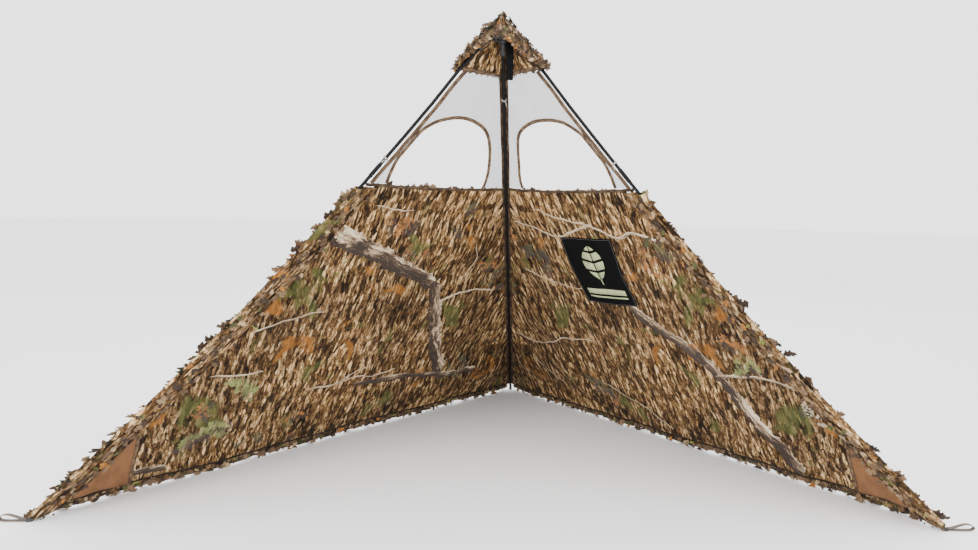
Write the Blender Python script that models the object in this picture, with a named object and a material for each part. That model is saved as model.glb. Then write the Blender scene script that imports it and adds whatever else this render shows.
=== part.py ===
"""Ground blind: three hinged poles on a hub, two fabric panels and a cap. Metres, +Z up."""

import math

import bmesh
import bpy
import numpy as np
from mathutils import Matrix, Vector
from mathutils.geometry import tessellate_polygon

# Stance. Every leg line meets the virtual apex above the hub.
FOOT_HALF_SPAN = 1.285
APEX_HEIGHT = 1.375
APEX_BEHIND_FEET = 0.062
PLAN_SHIFT = -0.6727  # brings the middle of the bounding box to y = 0

# Poles, measured along the leg from the virtual apex.
POLE_RADIUS = 0.00475
POLE_BORE = 0.0029
POLE_START = 0.0625
POLE_JOINTS = (0.52, 0.96, 1.40)
POLE_END = 1.84
SIDE_BOW = 0.045
BOW_START = 0.092
JOINT_GAP = 0.0003
FERRULE_HALF = 0.022
FERRULE_BORE = 0.00505
FERRULE_RADIUS = 0.0059
CORD_RADIUS = 0.0014
FOOT_RADIUS = 0.0068
TIE_RADIUS = 0.0060
CENTRE_TIE_AT = 0.235
SIDE_TIE_AT = 0.475

# Hub.
PIVOT_RADIUS = 0.027
HUB_RADIUS = 0.033
HUB_BOTTOM = 1.334
HUB_TOP = 1.3517
COVER_TOP = 1.362
COVER_TOP_RADIUS = 0.022
SLOT_WIDTH = 0.013
SLOT_ROOT = 0.0185
PIN_RADIUS = 0.0020
PIN_BORE = 0.0022
PIN_HALF = 0.012
LUG_RADIUS = 0.0055
LUG_THICKNESS = 0.012
SOCKET_RADIUS = 0.0075
SOCKET_FROM = 0.015
SOCKET_TO = 0.0505
SOCKET_FLOOR = 0.0225
SCREW_RADIUS = 0.0022
SCREW_BORE = 0.0025
SCREW_HEAD = 0.006

# Fabric, as distances down the slope of a panel and outward from its plane.
MESH_TOP = 0.105
CAMO_TOP = 0.512
TOP_SAG = 0.008
CAMO_BOTTOM = 1.597
SHELL_BOTTOM = 1.626
SEAM_GAP = 0.0004
VERTEX_TUCK = 0.0054
EDGE_TO_POLE = 0.020
EDGE_BINDING = 0.013
WINDOW_BINDING = 0.011
SLEEVE_INNER = 0.050
SLEEVE_OUTER = 0.013
SLEEVE_UNDER = 0.0080
SLEEVE_OVER = 0.0095
SLEEVE_WALL = 0.0015
SLEEVE_END = 1.838
PANEL_TO_SLEEVE = 0.001
GUSSET_SEAM = 0.695
TRIM_LAYER = (0.0062, 0.0074)
CLOTH_LAYER = (0.0080, 0.0095)
SHELL_LAYER = (0.0105, 0.0145)
TAPE_WIDTH = 0.025

# Windows: half outlines across a panel, from the sill up to the crown.
WINDOW_SILL = 0.500
WINDOW_CROWN = 0.290
WINDOW_TOWARDS_POLE = 0.178
WINDOW_TOWARDS_VERTEX = 0.215

# Cap.
CAP_THICKNESS = 0.0025
CAP_CREST = (0.0, 0.0, 1.4110)
CAP_BROW = (0.0, -0.046, 1.4050)
CAP_NOTCH = (0.0, -0.048, 1.3300)
CAP_HEM_AT = 0.176
CAP_BINDING = 0.012
STRAP_SIZE = (0.022, 0.002, 0.109)

SIDES = 20
BOW_STEPS = 10

for old in list(bpy.data.objects):
    bpy.data.objects.remove(old, do_unlink=True)

APEX = Vector((0.0, APEX_BEHIND_FEET + PLAN_SHIFT, APEX_HEIGHT))
SIDE_LEG = math.sqrt(FOOT_HALF_SPAN**2 + APEX_BEHIND_FEET**2 + APEX_HEIGHT**2)
CENTRE_FOOT_Y = APEX.y + math.hypot(FOOT_HALF_SPAN, APEX_BEHIND_FEET)
FEET = {
    "left": Vector((-FOOT_HALF_SPAN, PLAN_SHIFT, 0.0)),
    "right": Vector((FOOT_HALF_SPAN, PLAN_SHIFT, 0.0)),
    "centre": Vector((0.0, CENTRE_FOOT_Y, 0.0)),
}
MATERIALS = {
    "pole": ((0.02, 0.02, 0.022), 0.35, 0.0),
    "hub_plastic": ((0.015, 0.015, 0.018), 0.4, 0.0),
    "steel": ((0.6, 0.6, 0.62), 0.3, 1.0),
    "foot_plastic": ((0.03, 0.03, 0.03), 0.6, 0.0),
    "cord": ((0.85, 0.85, 0.82), 0.9, 0.0),
    "camo_print": ((0.36, 0.26, 0.19), 0.85, 0.0),
    "leaf_cloth": ((0.33, 0.27, 0.18), 0.9, 0.0),
    "mesh": ((0.67, 0.65, 0.66), 0.9, 0.0),
    "binding": ((0.30, 0.21, 0.14), 0.85, 0.0),
    "gusset_cloth": ((0.26, 0.16, 0.10), 0.9, 0.0),
    "webbing": ((0.12, 0.10, 0.09), 0.85, 0.0),
    "elastic": ((0.75, 0.73, 0.70), 0.9, 0.0),
}


def material(name):
    """The Principled material of that name."""
    found = bpy.data.materials.get(name)
    if found:
        return found
    colour, roughness, metallic = MATERIALS[name]
    made = bpy.data.materials.new(name)
    made.use_nodes = True
    shader = made.node_tree.nodes["Principled BSDF"]
    shader.inputs["Base Color"].default_value = (*colour, 1.0)
    shader.inputs["Roughness"].default_value = roughness
    shader.inputs["Metallic"].default_value = metallic
    return made


def add(name, verts, faces, slot, smooth_angle=None):
    """A named closed mesh object with outward normals."""
    bm = bmesh.new()
    made = [bm.verts.new(v) for v in verts]
    for face in faces:
        bm.faces.new([made[i] for i in face])
    bmesh.ops.remove_doubles(bm, verts=bm.verts, dist=1e-6)
    bmesh.ops.recalc_face_normals(bm, faces=bm.faces)
    mesh = bpy.data.meshes.new(name)
    bm.to_mesh(mesh)
    bm.free()
    obj = bpy.data.objects.new(name, mesh)
    bpy.context.collection.objects.link(obj)
    mesh.materials.append(material(slot))
    if smooth_angle is not None:
        for polygon in mesh.polygons:
            polygon.use_smooth = True
        mesh.set_sharp_from_angle(angle=math.radians(smooth_angle))
    return obj


def boolean(obj, cutters, operation):
    """Applies exact booleans with the cutters, which are then removed."""
    for cutter in cutters:
        cutter.hide_render = True
        cutter.display_type = "WIRE"
        modifier = obj.modifiers.new("cut", "BOOLEAN")
        modifier.operation = operation
        modifier.solver = "EXACT"
        modifier.object = cutter
    bpy.context.view_layer.update()
    graph = bpy.context.evaluated_depsgraph_get()
    mesh = bpy.data.meshes.new_from_object(obj.evaluated_get(graph))
    obj.modifiers.clear()
    obj.data = mesh
    for cutter in cutters:
        bpy.data.objects.remove(cutter, do_unlink=True)
    return obj


def loop_faces(rings, closed_along=False):
    """Quads between consecutive rings of equal length."""
    count = len(rings[0])
    spans = len(rings) if closed_along else len(rings) - 1
    faces = []
    for r in range(spans):
        a = r * count
        b = ((r + 1) % len(rings)) * count
        for i in range(count):
            j = (i + 1) % count
            faces.append([a + i, a + j, b + j, b + i])
    return faces


def sweep(path, across, outward, outer, inner=None):
    """A closed profile carried along a path. across and outward hold a direction for each point."""
    rings = []
    for profile in [outer] if inner is None else [outer, inner]:
        rings.append(
            [[p + a * u + n * w for u, w in profile] for p, a, n in zip(path, across, outward)]
        )
    count = len(outer)
    verts = [v for ring in rings[0] for v in ring]
    faces = loop_faces(rings[0])
    last = (len(path) - 1) * count
    if inner is None:
        faces.append(list(range(count)))
        faces.append([last + i for i in range(count)])
        return verts, faces
    base = len(verts)
    verts += [v for ring in rings[1] for v in ring]
    faces += [[i + base for i in face] for face in loop_faces(rings[1])]
    for start in (0, last):
        for i in range(count):
            j = (i + 1) % count
            faces.append([start + i, start + j, base + start + j, base + start + i])
    return verts, faces


def circle(radius, sides=SIDES):
    """The points of a circle as (across, outward) pairs."""
    return [
        (radius * math.cos(2 * math.pi * i / sides), radius * math.sin(2 * math.pi * i / sides))
        for i in range(sides)
    ]


def rounded_box(low_u, high_u, low_w, high_w, radius, steps=3):
    """The outline of a rounded rectangle."""
    points = []
    corners = (
        (high_u - radius, high_w - radius, 0),
        (low_u + radius, high_w - radius, 90),
        (low_u + radius, low_w + radius, 180),
        (high_u - radius, low_w + radius, 270),
    )
    for u, w, start in corners:
        for i in range(steps + 1):
            angle = math.radians(start + 90 * i / steps)
            points.append((u + radius * math.cos(angle), w + radius * math.sin(angle)))
    return points


class Panel:
    """The plane through the centre leg and one side leg."""

    def __init__(self, side):
        self.side = side
        foot, centre = FEET[side], FEET["centre"]
        self.across = (foot - centre).normalized()
        self.down = ((foot + centre) / 2 - APEX).normalized()
        self.out = self.across.cross(self.down)
        if self.out.y < 0:
            self.out = -self.out
        self.half_angle = math.asin((foot - centre).length / 2 / SIDE_LEG)

    def point(self, x, y, n=0.0):
        return APEX + self.across * x + self.down * y + self.out * n

    def leg(self, along):
        """Centre of the side pole at a distance from the virtual apex, bow included."""
        sine, cosine = math.sin(self.half_angle), math.cos(self.half_angle)
        inward = bow(along)
        return along * sine - inward * cosine, along * cosine + inward * sine

    def side_x(self, y, inset):
        """Where a line at that inset from the bowed side pole crosses the height y."""
        sine, cosine = math.sin(self.half_angle), math.cos(self.half_angle)
        along = y / cosine
        for _ in range(6):
            along = (y - (inset + bow(along)) * sine) / cosine
        return along * sine - (inset + bow(along)) * cosine

    def centre_x(self, y, inset):
        """The same for the straight centre pole."""
        sine, cosine = math.sin(self.half_angle), math.cos(self.half_angle)
        along = (y - inset * sine) / cosine
        return -(along * sine - inset * cosine)


def bow(along):
    """How far a side pole is bent towards the centre leg, easing in below its socket."""
    share = (along - BOW_START) / (SIDE_LEG - BOW_START)
    if share <= 0 or share >= 1:
        return 0.0
    ease = min(1.0, share / 0.12)
    return SIDE_BOW * math.sin(math.pi * share) * ease * ease * (3 - 2 * ease)


PANELS = {side: Panel(side) for side in ("left", "right")}


def leg_direction(leg):
    return (FEET[leg] - APEX).normalized()


def leg_frame(leg):
    """Unit vectors across and outward at right angles to a leg."""
    if leg == "centre":
        across = Vector((1.0, 0.0, 0.0))
        return across, across.cross(leg_direction(leg)).normalized()
    panel = PANELS[leg]
    direction = leg_direction(leg)
    inward = -panel.across
    inward = (inward - direction * inward.dot(direction)).normalized()
    return inward, panel.out


def leg_point(leg, along):
    """A point on the centre of a pole."""
    inward, _ = leg_frame(leg)
    bent = 0.0 if leg == "centre" else bow(along)
    return APEX + leg_direction(leg) * along + inward * bent


def leg_path(leg, start, end, steps):
    """Points, across and outward directions down a stretch of a leg."""
    across, outward = leg_frame(leg)
    if leg == "centre":
        steps = 1
    points = [leg_point(leg, start + (end - start) * i / steps) for i in range(steps + 1)]
    return points, [across] * len(points), [outward] * len(points)


def stretch(start, end, radius, steps=4):
    """Spaced (along, radius) pairs, with one where the bow begins."""
    stations = [start + (end - start) * i / steps for i in range(steps + 1)]
    if min(start, end) < BOW_START < max(start, end):
        stations = sorted(stations + [BOW_START], reverse=start > end)
    return [(along, radius) for along in stations]


def turned(leg, profile):
    """A closed profile of (along, radius) pairs turned about a pole's centre line."""
    across, outward = leg_frame(leg)
    rings = []
    for along, radius in profile:
        centre = leg_point(leg, along)
        rings.append([centre + across * u + outward * w for u, w in circle(radius)])
    return [v for ring in rings for v in ring], loop_faces(rings, closed_along=True)


def pole_parts(leg):
    """The four sections, shock cord, foot tip and tie of one leg.

    A ferrule is fixed on the lower end of each section but the last.
    """
    ends = (POLE_START, *POLE_JOINTS, POLE_END)
    for number, (start, end) in enumerate(zip(ends, ends[1:]), 1):
        top, bottom = start + JOINT_GAP / 2, end - JOINT_GAP / 2
        if number == len(ends) - 1:
            profile = stretch(top, bottom, POLE_RADIUS)
        else:
            profile = stretch(top, end - FERRULE_HALF, POLE_RADIUS)
            profile += stretch(end - FERRULE_HALF, end + FERRULE_HALF, FERRULE_RADIUS, 1)
            profile += stretch(end + FERRULE_HALF, bottom, FERRULE_BORE, 1)
        profile += stretch(bottom, top, POLE_BORE)
        add(f"pole_{leg}_{number}", *turned(leg, profile), "pole", 40)
    cord = sweep(*leg_path(leg, POLE_START + 0.001, POLE_END - 0.001, 16), circle(CORD_RADIUS, 8))
    add(f"shock_cord_{leg}", *cord, "cord", 60)
    foot_parts(leg)
    at = CENTRE_TIE_AT if leg == "centre" else SIDE_TIE_AT
    tie = sweep(
        *leg_path(leg, at - 0.005, at + 0.005, 1), circle(TIE_RADIUS), circle(FERRULE_BORE)
    )
    add(f"tie_{leg}", *tie, "elastic", 40)


def foot_parts(leg):
    """A tip below the pole, cut flat where it meets the ground."""
    direction = leg_direction(leg)
    across, outward = leg_frame(leg)
    start = POLE_END + JOINT_GAP
    verts = []
    for u, w in circle(FOOT_RADIUS):
        verts.append(leg_point(leg, start) + across * u + outward * w)
    base = leg_point(leg, SIDE_LEG)
    for u, w in circle(FOOT_RADIUS):
        point = base + across * u + outward * w
        verts.append(point - direction * (point.z / direction.z))
    count = SIDES
    faces = loop_faces([verts[:count], verts[count:]])
    faces += [list(range(count)), list(range(count, 2 * count))]
    add(f"foot_tip_{leg}", verts, faces, "foot_plastic", 40)


def cylinder(centre, axis, radius, low, high, sides=SIDES):
    """Vertices and faces of a cylinder from low to high along axis."""
    axis = axis.normalized()
    across = axis.orthogonal().normalized()
    outward = axis.cross(across)
    path = [centre + axis * low, centre + axis * high]
    return sweep(path, [across] * 2, [outward] * 2, circle(radius, sides))


def block(centre, axes, halves):
    """Vertices and faces of a box with its own axes."""
    verts = []
    for i in (-1, 1):
        for j in (-1, 1):
            for k in (-1, 1):
                corner = axes[0] * halves[0] * i + axes[1] * halves[1] * j + axes[2] * halves[2] * k
                verts.append(centre + corner)
    faces = [[0, 1, 3, 2], [4, 5, 7, 6], [0, 1, 5, 4], [2, 3, 7, 6], [0, 2, 6, 4], [1, 3, 7, 5]]
    return verts, faces


def pivot(leg):
    """Centre of the hinge pin of a leg."""
    direction = leg_direction(leg)
    plan = math.hypot(direction.x, direction.y)
    return APEX + direction * (PIVOT_RADIUS / plan)


def tangent(leg):
    """Direction of the hinge pin of a leg."""
    direction = leg_direction(leg)
    return Vector((-direction.y, direction.x, 0.0)).normalized()


def lathe(name, profile, centre, slot, sides=48):
    """A closed profile of (radius, height) pairs turned about the vertical."""
    rings = []
    for i in range(sides):
        angle = 2 * math.pi * i / sides
        x, y = math.cos(angle), math.sin(angle)
        rings.append([Vector((centre.x + x * r, centre.y + y * r, z)) for r, z in profile])
    faces = loop_faces(rings, closed_along=True)
    verts = [v for ring in rings for v in ring]
    return add(name, verts, faces, slot, 35)


def hub_parts():
    """Hub body with three slots, cover, screw and pins."""
    up = Vector((0.0, 0.0, 1.0))
    centre = Vector((APEX.x, APEX.y, 0.0))
    body = lathe(
        "hub_body",
        [
            (SCREW_BORE, HUB_BOTTOM + 0.004),
            (0.015, HUB_BOTTOM + 0.004),
            (0.016, HUB_BOTTOM),
            (HUB_RADIUS - 0.001, HUB_BOTTOM),
            (HUB_RADIUS, HUB_BOTTOM + 0.001),
            (HUB_RADIUS, HUB_TOP),
            (SCREW_BORE, HUB_TOP),
        ],
        centre,
        "hub_plastic",
    )
    cutters = []
    for leg in FEET:
        outward = Vector((leg_direction(leg).x, leg_direction(leg).y, 0.0)).normalized()
        middle = centre + outward * (SLOT_ROOT + 0.02) + up * (HUB_BOTTOM + HUB_TOP) / 2
        slot = block(middle, (outward, tangent(leg), up), (0.02, SLOT_WIDTH / 2, 0.02))
        cutters.append(add(f"cut_slot_{leg}", *slot, "hub_plastic"))
        hole = cylinder(pivot(leg), tangent(leg), PIN_BORE, -PIN_HALF - 0.0004, PIN_HALF + 0.0004)
        cutters.append(add(f"cut_pin_{leg}", *hole, "hub_plastic"))
    boolean(body, cutters, "DIFFERENCE")
    cover_bottom = HUB_TOP + JOINT_GAP
    lathe(
        "hub_cover",
        [
            (SCREW_BORE, cover_bottom),
            (HUB_RADIUS, cover_bottom),
            (HUB_RADIUS, cover_bottom + 0.002),
            (COVER_TOP_RADIUS, COVER_TOP - 0.001),
            (COVER_TOP_RADIUS - 0.002, COVER_TOP),
            (SCREW_BORE, COVER_TOP),
        ],
        centre,
        "hub_plastic",
    )
    head = COVER_TOP + JOINT_GAP
    profile = [
        (SCREW_RADIUS, HUB_BOTTOM + 0.006),
        (SCREW_RADIUS, head),
        (SCREW_HEAD, head),
        (SCREW_HEAD, head + 0.0015),
        (SCREW_HEAD * 0.7, head + 0.003),
    ]
    rings = [[Vector((centre.x + u, centre.y + w, z)) for u, w in circle(r)] for r, z in profile]
    faces = loop_faces(rings)
    faces += [list(range(SIDES)), [(len(rings) - 1) * SIDES + i for i in range(SIDES)]]
    add("hub_screw", [v for ring in rings for v in ring], faces, "steel", 35)
    for leg in FEET:
        pin = cylinder(pivot(leg), tangent(leg), PIN_RADIUS, -PIN_HALF, PIN_HALF)
        add(f"hub_pin_{leg}", *pin, "steel", 40)


def knuckle_parts(leg):
    """The piece that a pole plugs into and that turns on its pin."""
    centre = pivot(leg)
    direction = leg_direction(leg)
    pin = tangent(leg)
    raised = direction.cross(pin).normalized()
    half = LUG_THICKNESS / 2
    body = add(f"knuckle_{leg}", *cylinder(centre, pin, LUG_RADIUS, -half, half, 24), "hub_plastic")
    reach = SOCKET_FROM + 0.004
    bar = block(centre + direction * reach / 2, (direction, pin, raised), (reach / 2, half - 0.0004, 0.0050))
    socket = cylinder(centre, direction, SOCKET_RADIUS, SOCKET_FROM, SOCKET_TO, 24)
    parts = [add(f"join_bar_{leg}", *bar, "hub_plastic")]
    parts.append(add(f"join_socket_{leg}", *socket, "hub_plastic"))
    boolean(body, parts, "UNION")
    bore = cylinder(centre, direction, FERRULE_BORE, SOCKET_FLOOR, SOCKET_TO + 0.01, 24)
    hole = cylinder(centre, pin, PIN_BORE, -half - 0.01, half + 0.01)
    cutters = [add(f"cut_bore_{leg}", *bore, "hub_plastic")]
    cutters.append(add(f"cut_hole_{leg}", *hole, "hub_plastic"))
    boolean(body, cutters, "DIFFERENCE")
    for polygon in body.data.polygons:
        polygon.use_smooth = True
    body.data.set_sharp_from_angle(angle=math.radians(35))


def prism(name, panel, outline, layer, slot):
    """A flat piece of cloth: an outline in the panel plane between two layers."""
    flat = [Vector((x, y, 0.0)) for x, y in outline]
    triangles = tessellate_polygon([flat])
    count = len(outline)
    verts = [panel.point(x, y, n) for n in layer for x, y in outline]
    faces = [list(t) for t in triangles] + [[i + count for i in t] for t in triangles]
    for i in range(count):
        j = (i + 1) % count
        faces.append([i, j, j + count, i + count])
    return add(name, verts, faces, slot)


def window_arch(x):
    """Height of a window's edge above a point on its sill."""
    wide = WINDOW_TOWARDS_POLE if x > 0 else WINDOW_TOWARDS_VERTEX
    share = min(1.0, abs(x) / wide)
    return WINDOW_SILL - (WINDOW_SILL - WINDOW_CROWN) * (1 - share**3.2) ** (1 / 2.2)


def arch_points(panel, sign, grow):
    """The arch of one half of a window, from its foot to the panel's crease.

    It keeps clear of the bindings along the pole and along the vertex.
    """
    wide = WINDOW_TOWARDS_POLE if sign > 0 else WINDOW_TOWARDS_VERTEX
    shares = [1.0, 0.995, 0.97, 0.92, 0.84, 0.72, 0.56, 0.38, 0.2, 0.0]
    raw = []
    for share in shares:
        x = sign * wide * share
        y = window_arch(x)
        if sign > 0:
            inset = EDGE_TO_POLE + EDGE_BINDING + WINDOW_BINDING + 0.0015
            x = min(x, panel.side_x(y, inset))
        else:
            x = max(x, panel.centre_x(y, TAPE_WIDTH + WINDOW_BINDING + 0.0015))
        raw.append((x, y))
    if not grow:
        return [(x if s else sign * SEAM_GAP, y) for (x, y), s in zip(raw, shares)]
    grown = []
    for i, (x, y) in enumerate(raw):
        before, after = raw[max(i - 1, 0)], raw[min(i + 1, len(raw) - 1)]
        along = Vector((after[0] - before[0], after[1] - before[1])).normalized()
        normal = Vector((-along.y, along.x)) * sign
        if i == len(raw) - 1:
            normal = Vector((0.0, -1.0))
        if i == 0:
            normal = Vector((sign, 0.0))
        point = Vector((x, y)) + normal * grow
        grown.append((point.x if i < len(raw) - 1 else sign * SEAM_GAP, point.y))
    return grown


def edge_line(panel, sign, top, bottom, inset, steps=BOW_STEPS):
    """The outer boundary of half a panel, from top to bottom."""
    points = []
    for i in range(steps + 1):
        y = top + (bottom - top) * i / steps
        x = panel.side_x(y, inset) if sign > 0 else panel.centre_x(y, inset)
        points.append((x, y))
    return points


def camo_top(x):
    """The gently sagging top edge of the lower cloth."""
    share = min(1.0, abs(x) / 0.28)
    return CAMO_TOP + TOP_SAG * (1 - share**2)


def wing_parts(side, half):
    """The cloth of half a panel: the print, the leafy shell, the mesh and the window binding."""
    panel = PANELS[side]
    sign = 1 if half == "outer" else -1
    tag = f"{side}_{half}"
    crease = sign * SEAM_GAP
    inset = SLEEVE_INNER + PANEL_TO_SLEEVE if sign > 0 else -VERTEX_TUCK
    steps = BOW_STEPS if sign > 0 else 1
    top_edge = panel.side_x(CAMO_TOP, inset) if sign > 0 else panel.centre_x(CAMO_TOP, inset)
    tops = [(crease, camo_top(0.0))]
    tops += [(top_edge * s, camo_top(top_edge * s)) for s in (0.35, 0.7)]
    edge = edge_line(panel, sign, CAMO_TOP, CAMO_BOTTOM, inset, steps)
    if sign > 0:
        edge = [p for p in edge if p[0] < GUSSET_SEAM - 0.004]
        corner = gusset_corner(panel)
        edge.append((GUSSET_SEAM - SEAM_GAP, corner - 0.0005))
        edge.append((GUSSET_SEAM - SEAM_GAP, CAMO_BOTTOM))
    outline = tops + edge + [(crease, CAMO_BOTTOM)]
    prism(f"camo_panel_{tag}", panel, outline, CLOTH_LAYER, "camo_print")

    shell_edge = edge_line(panel, sign, CAMO_TOP, SHELL_BOTTOM, inset, steps)
    outline = tops + shell_edge + [(crease, SHELL_BOTTOM)]
    prism(f"leaf_shell_{tag}", panel, outline, SHELL_LAYER, "leaf_cloth")

    sill = CAMO_TOP - 0.0006
    mesh_inset = EDGE_TO_POLE if sign > 0 else -VERTEX_TUCK
    arch = arch_points(panel, sign, 0.0)
    mesh_edge = edge_line(panel, sign, MESH_TOP, sill, mesh_inset, steps)
    outline = [(crease, MESH_TOP)] + mesh_edge + [(arch[0][0], sill)] + arch
    prism(f"window_mesh_{tag}", panel, outline, CLOTH_LAYER, "mesh")

    outer_arch = arch_points(panel, sign, WINDOW_BINDING)
    foot = (arch[0][0], CAMO_TOP - 0.001)
    outer_foot = (outer_arch[0][0], CAMO_TOP - 0.001)
    outline = [outer_foot] + outer_arch + arch[::-1] + [foot]
    prism(f"window_binding_{tag}", panel, outline, TRIM_LAYER, "binding")


def gusset_corner(panel):
    """Where the gusset's seam meets the edge of the sleeve."""
    low, high = 1.0, CAMO_BOTTOM
    for _ in range(40):
        middle = (low + high) / 2
        if panel.side_x(middle, SLEEVE_INNER + PANEL_TO_SLEEVE) < GUSSET_SEAM:
            low = middle
        else:
            high = middle
    return low


def side_trim(side):
    """Pole sleeve, gusset, mesh edge binding and stake loop of a side leg."""
    panel = PANELS[side]
    top = CAMO_TOP / math.cos(panel.half_angle)
    outer = rounded_box(-SLEEVE_OUTER, SLEEVE_INNER, -SLEEVE_UNDER, SLEEVE_OVER, 0.006)
    wall = SLEEVE_WALL
    inner = rounded_box(
        -SLEEVE_OUTER + wall, SLEEVE_INNER - wall, -SLEEVE_UNDER + wall, SLEEVE_OVER - wall, 0.0045
    )
    sleeve = sweep(*leg_path(side, top, SLEEVE_END, BOW_STEPS), outer, inner)
    add(f"pole_sleeve_{side}", *sleeve, "leaf_cloth", 50)

    corner = gusset_corner(panel)
    edge = edge_line(panel, 1, corner, CAMO_BOTTOM, SLEEVE_INNER + PANEL_TO_SLEEVE, 4)
    outline = [(GUSSET_SEAM + SEAM_GAP, corner + 0.002)]
    outline += [p for p in edge if p[0] > GUSSET_SEAM + 0.002]
    outline.append((GUSSET_SEAM + SEAM_GAP, CAMO_BOTTOM))
    prism(f"gusset_{side}", panel, outline, CLOTH_LAYER, "gusset_cloth")

    near = edge_line(panel, 1, MESH_TOP, CAMO_TOP - 0.001, EDGE_TO_POLE)
    far = edge_line(panel, 1, MESH_TOP, CAMO_TOP - 0.001, EDGE_TO_POLE + EDGE_BINDING)
    prism(f"edge_binding_{side}", panel, near + far[::-1], TRIM_LAYER, "binding")
    stake_loop(side)


def stake_loop(side):
    """A folded webbing loop that lies on the ground beyond a side foot."""
    sign = -1 if side == "left" else 1
    foot = FEET[side]
    out = Vector((sign, 0.0, 0.0))
    up = Vector((0.0, 0.0, 1.0))
    start = foot + out * 0.012
    outer = [
        (0.0, 0.0064), (0.030, 0.0066), (0.050, 0.0120), (0.060, 0.0128), (0.068, 0.0110),
        (0.071, 0.0070), (0.068, 0.0030), (0.060, 0.0012), (0.040, 0.0010), (0.0, 0.0010),
    ]
    inner = [
        (0.0, 0.0048), (0.0305, 0.0050), (0.050, 0.0102), (0.060, 0.0110), (0.0664, 0.0098),
        (0.069, 0.0070), (0.0664, 0.0044), (0.060, 0.0030), (0.040, 0.0028), (0.0, 0.0028),
    ]
    rings = []
    for y in (-0.0125, 0.0125):
        for profile in (outer, inner):
            rings.append([start + out * x + up * z + Vector((0.0, y, 0.0)) for x, z in profile])
    count = len(outer)
    verts = [v for ring in rings for v in ring]
    faces = []
    for i in range(count - 1):
        j = i + 1
        faces.append([i, j, j + 2 * count, i + 2 * count])
        faces.append([count + i, count + j, j + 3 * count, i + 3 * count])
        faces.append([i, j, count + j, count + i])
        faces.append([2 * count + i, 2 * count + j, 3 * count + j, 3 * count + i])
    for i in (0, count - 1):
        faces.append([i, count + i, 3 * count + i, 2 * count + i])
    add(f"stake_loop_{side}", verts, faces, "webbing", 50)


def vertex_tape():
    """The binding over the seam where the two panels meet, behind the centre pole."""
    left, right = PANELS["left"], PANELS["right"]
    direction = leg_direction("centre")
    near, far = TRIM_LAYER
    half_turn = left.out.angle(right.out) / 2
    ridge = (left.out + right.out).normalized() / math.cos(half_turn)
    wings = []
    for panel in (left, right):
        inward = panel.across
        wings.append((inward - direction * inward.dot(direction)).normalized())
    section = [
        wings[0] * TAPE_WIDTH + left.out * near,
        ridge * near,
        wings[1] * TAPE_WIDTH + right.out * near,
        wings[1] * TAPE_WIDTH + right.out * far,
        ridge * far,
        wings[0] * TAPE_WIDTH + left.out * far,
    ]
    top = MESH_TOP / math.cos(left.half_angle)
    bottom = CAMO_BOTTOM / math.cos(left.half_angle)
    rings = [[APEX + direction * along + offset for offset in section] for along in (top, bottom)]
    verts = [v for ring in rings for v in ring]
    faces = loop_faces(rings)
    faces += [[0, 1, 4, 5], [1, 2, 3, 4], [6, 7, 10, 11], [7, 8, 9, 10]]
    add("vertex_tape", verts, faces, "binding")


def cap_corner(leg, lift, forward, along=CAP_HEM_AT):
    """A point of the cap beside a side leg, lifted off it and brought forward."""
    direction = leg_direction(leg)
    raised = Vector((0.0, 0.0, 1.0))
    raised = (raised - direction * raised.z * direction.z).normalized()
    return APEX + direction * along + raised * lift + Vector((0.0, -forward, 0.0))


def cap_parts():
    """The three-sided hood, the binding on its rear hem and the pull strap."""
    base = Vector((APEX.x, APEX.y, 0.0))
    crest, brow, notch = (base + Vector(p) for p in (CAP_CREST, CAP_BROW, CAP_NOTCH))
    ridge = (PANELS["left"].out + PANELS["right"].out).normalized()
    heel = APEX + leg_direction("centre") * CAP_HEM_AT + ridge * 0.0245
    upper = {leg: cap_corner(leg, 0.026, 0.008) for leg in ("left", "right")}
    lower = {leg: cap_corner(leg, -0.014, 0.023, CAP_HEM_AT - 0.012) for leg in ("left", "right")}
    verts = [crest, brow, notch, heel]
    verts += [upper["left"], lower["left"], upper["right"], lower["right"]]
    faces = [
        [0, 4, 3],
        [0, 3, 6],
        [0, 1, 4],
        [0, 6, 1],
        [1, 2, 5],
        [1, 5, 4],
        [1, 7, 2],
        [1, 6, 7],
    ]
    hood = bpy.data.meshes.new("cap")
    hood.from_pydata(verts, [], faces)
    cap = bpy.data.objects.new("cap", hood)
    bpy.context.collection.objects.link(cap)
    hood.materials.append(material("leaf_cloth"))
    bm = bmesh.new()
    bm.from_mesh(hood)
    bmesh.ops.recalc_face_normals(bm, faces=bm.faces)
    inside = base + Vector((0.0, 0.03, 1.30))
    if bm.faces[0].normal.dot(bm.faces[0].calc_center_median() - inside) < 0:
        bmesh.ops.reverse_faces(bm, faces=bm.faces)
    bm.to_mesh(hood)
    bm.free()
    solid = cap.modifiers.new("thickness", "SOLIDIFY")
    solid.thickness = CAP_THICKNESS
    solid.offset = -1.0
    solid.use_even_offset = True
    boolean(cap, [], "UNION")

    corners = (
        (upper["left"], PANELS["left"].down, PANELS["left"].out),
        (heel, leg_direction("centre"), ridge),
        (upper["right"], PANELS["right"].down, PANELS["right"].out),
    )
    verts = []
    for corner, down, out in corners:
        top = corner + down * 0.0012
        verts += [top - out * 0.0022, top - out * 0.0006]
        verts += [top - out * 0.0006 + down * CAP_BINDING, top - out * 0.0022 + down * CAP_BINDING]
    faces = [[0, 1, 2, 3], [8, 9, 10, 11]]
    faces += loop_faces([verts[0:4], verts[4:8], verts[8:12]])
    add("cap_binding", verts, faces, "binding")

    width, thick, drop = STRAP_SIZE
    centre = base + Vector((0.019, -0.016, HUB_BOTTOM - JOINT_GAP - drop / 2))
    axes = (Vector((1, 0, 0)), Vector((0, 1, 0)), Vector((0, 0, 1)))
    add("pull_strap", *block(centre, axes, (width / 2, thick / 2, drop / 2)), "webbing")


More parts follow.
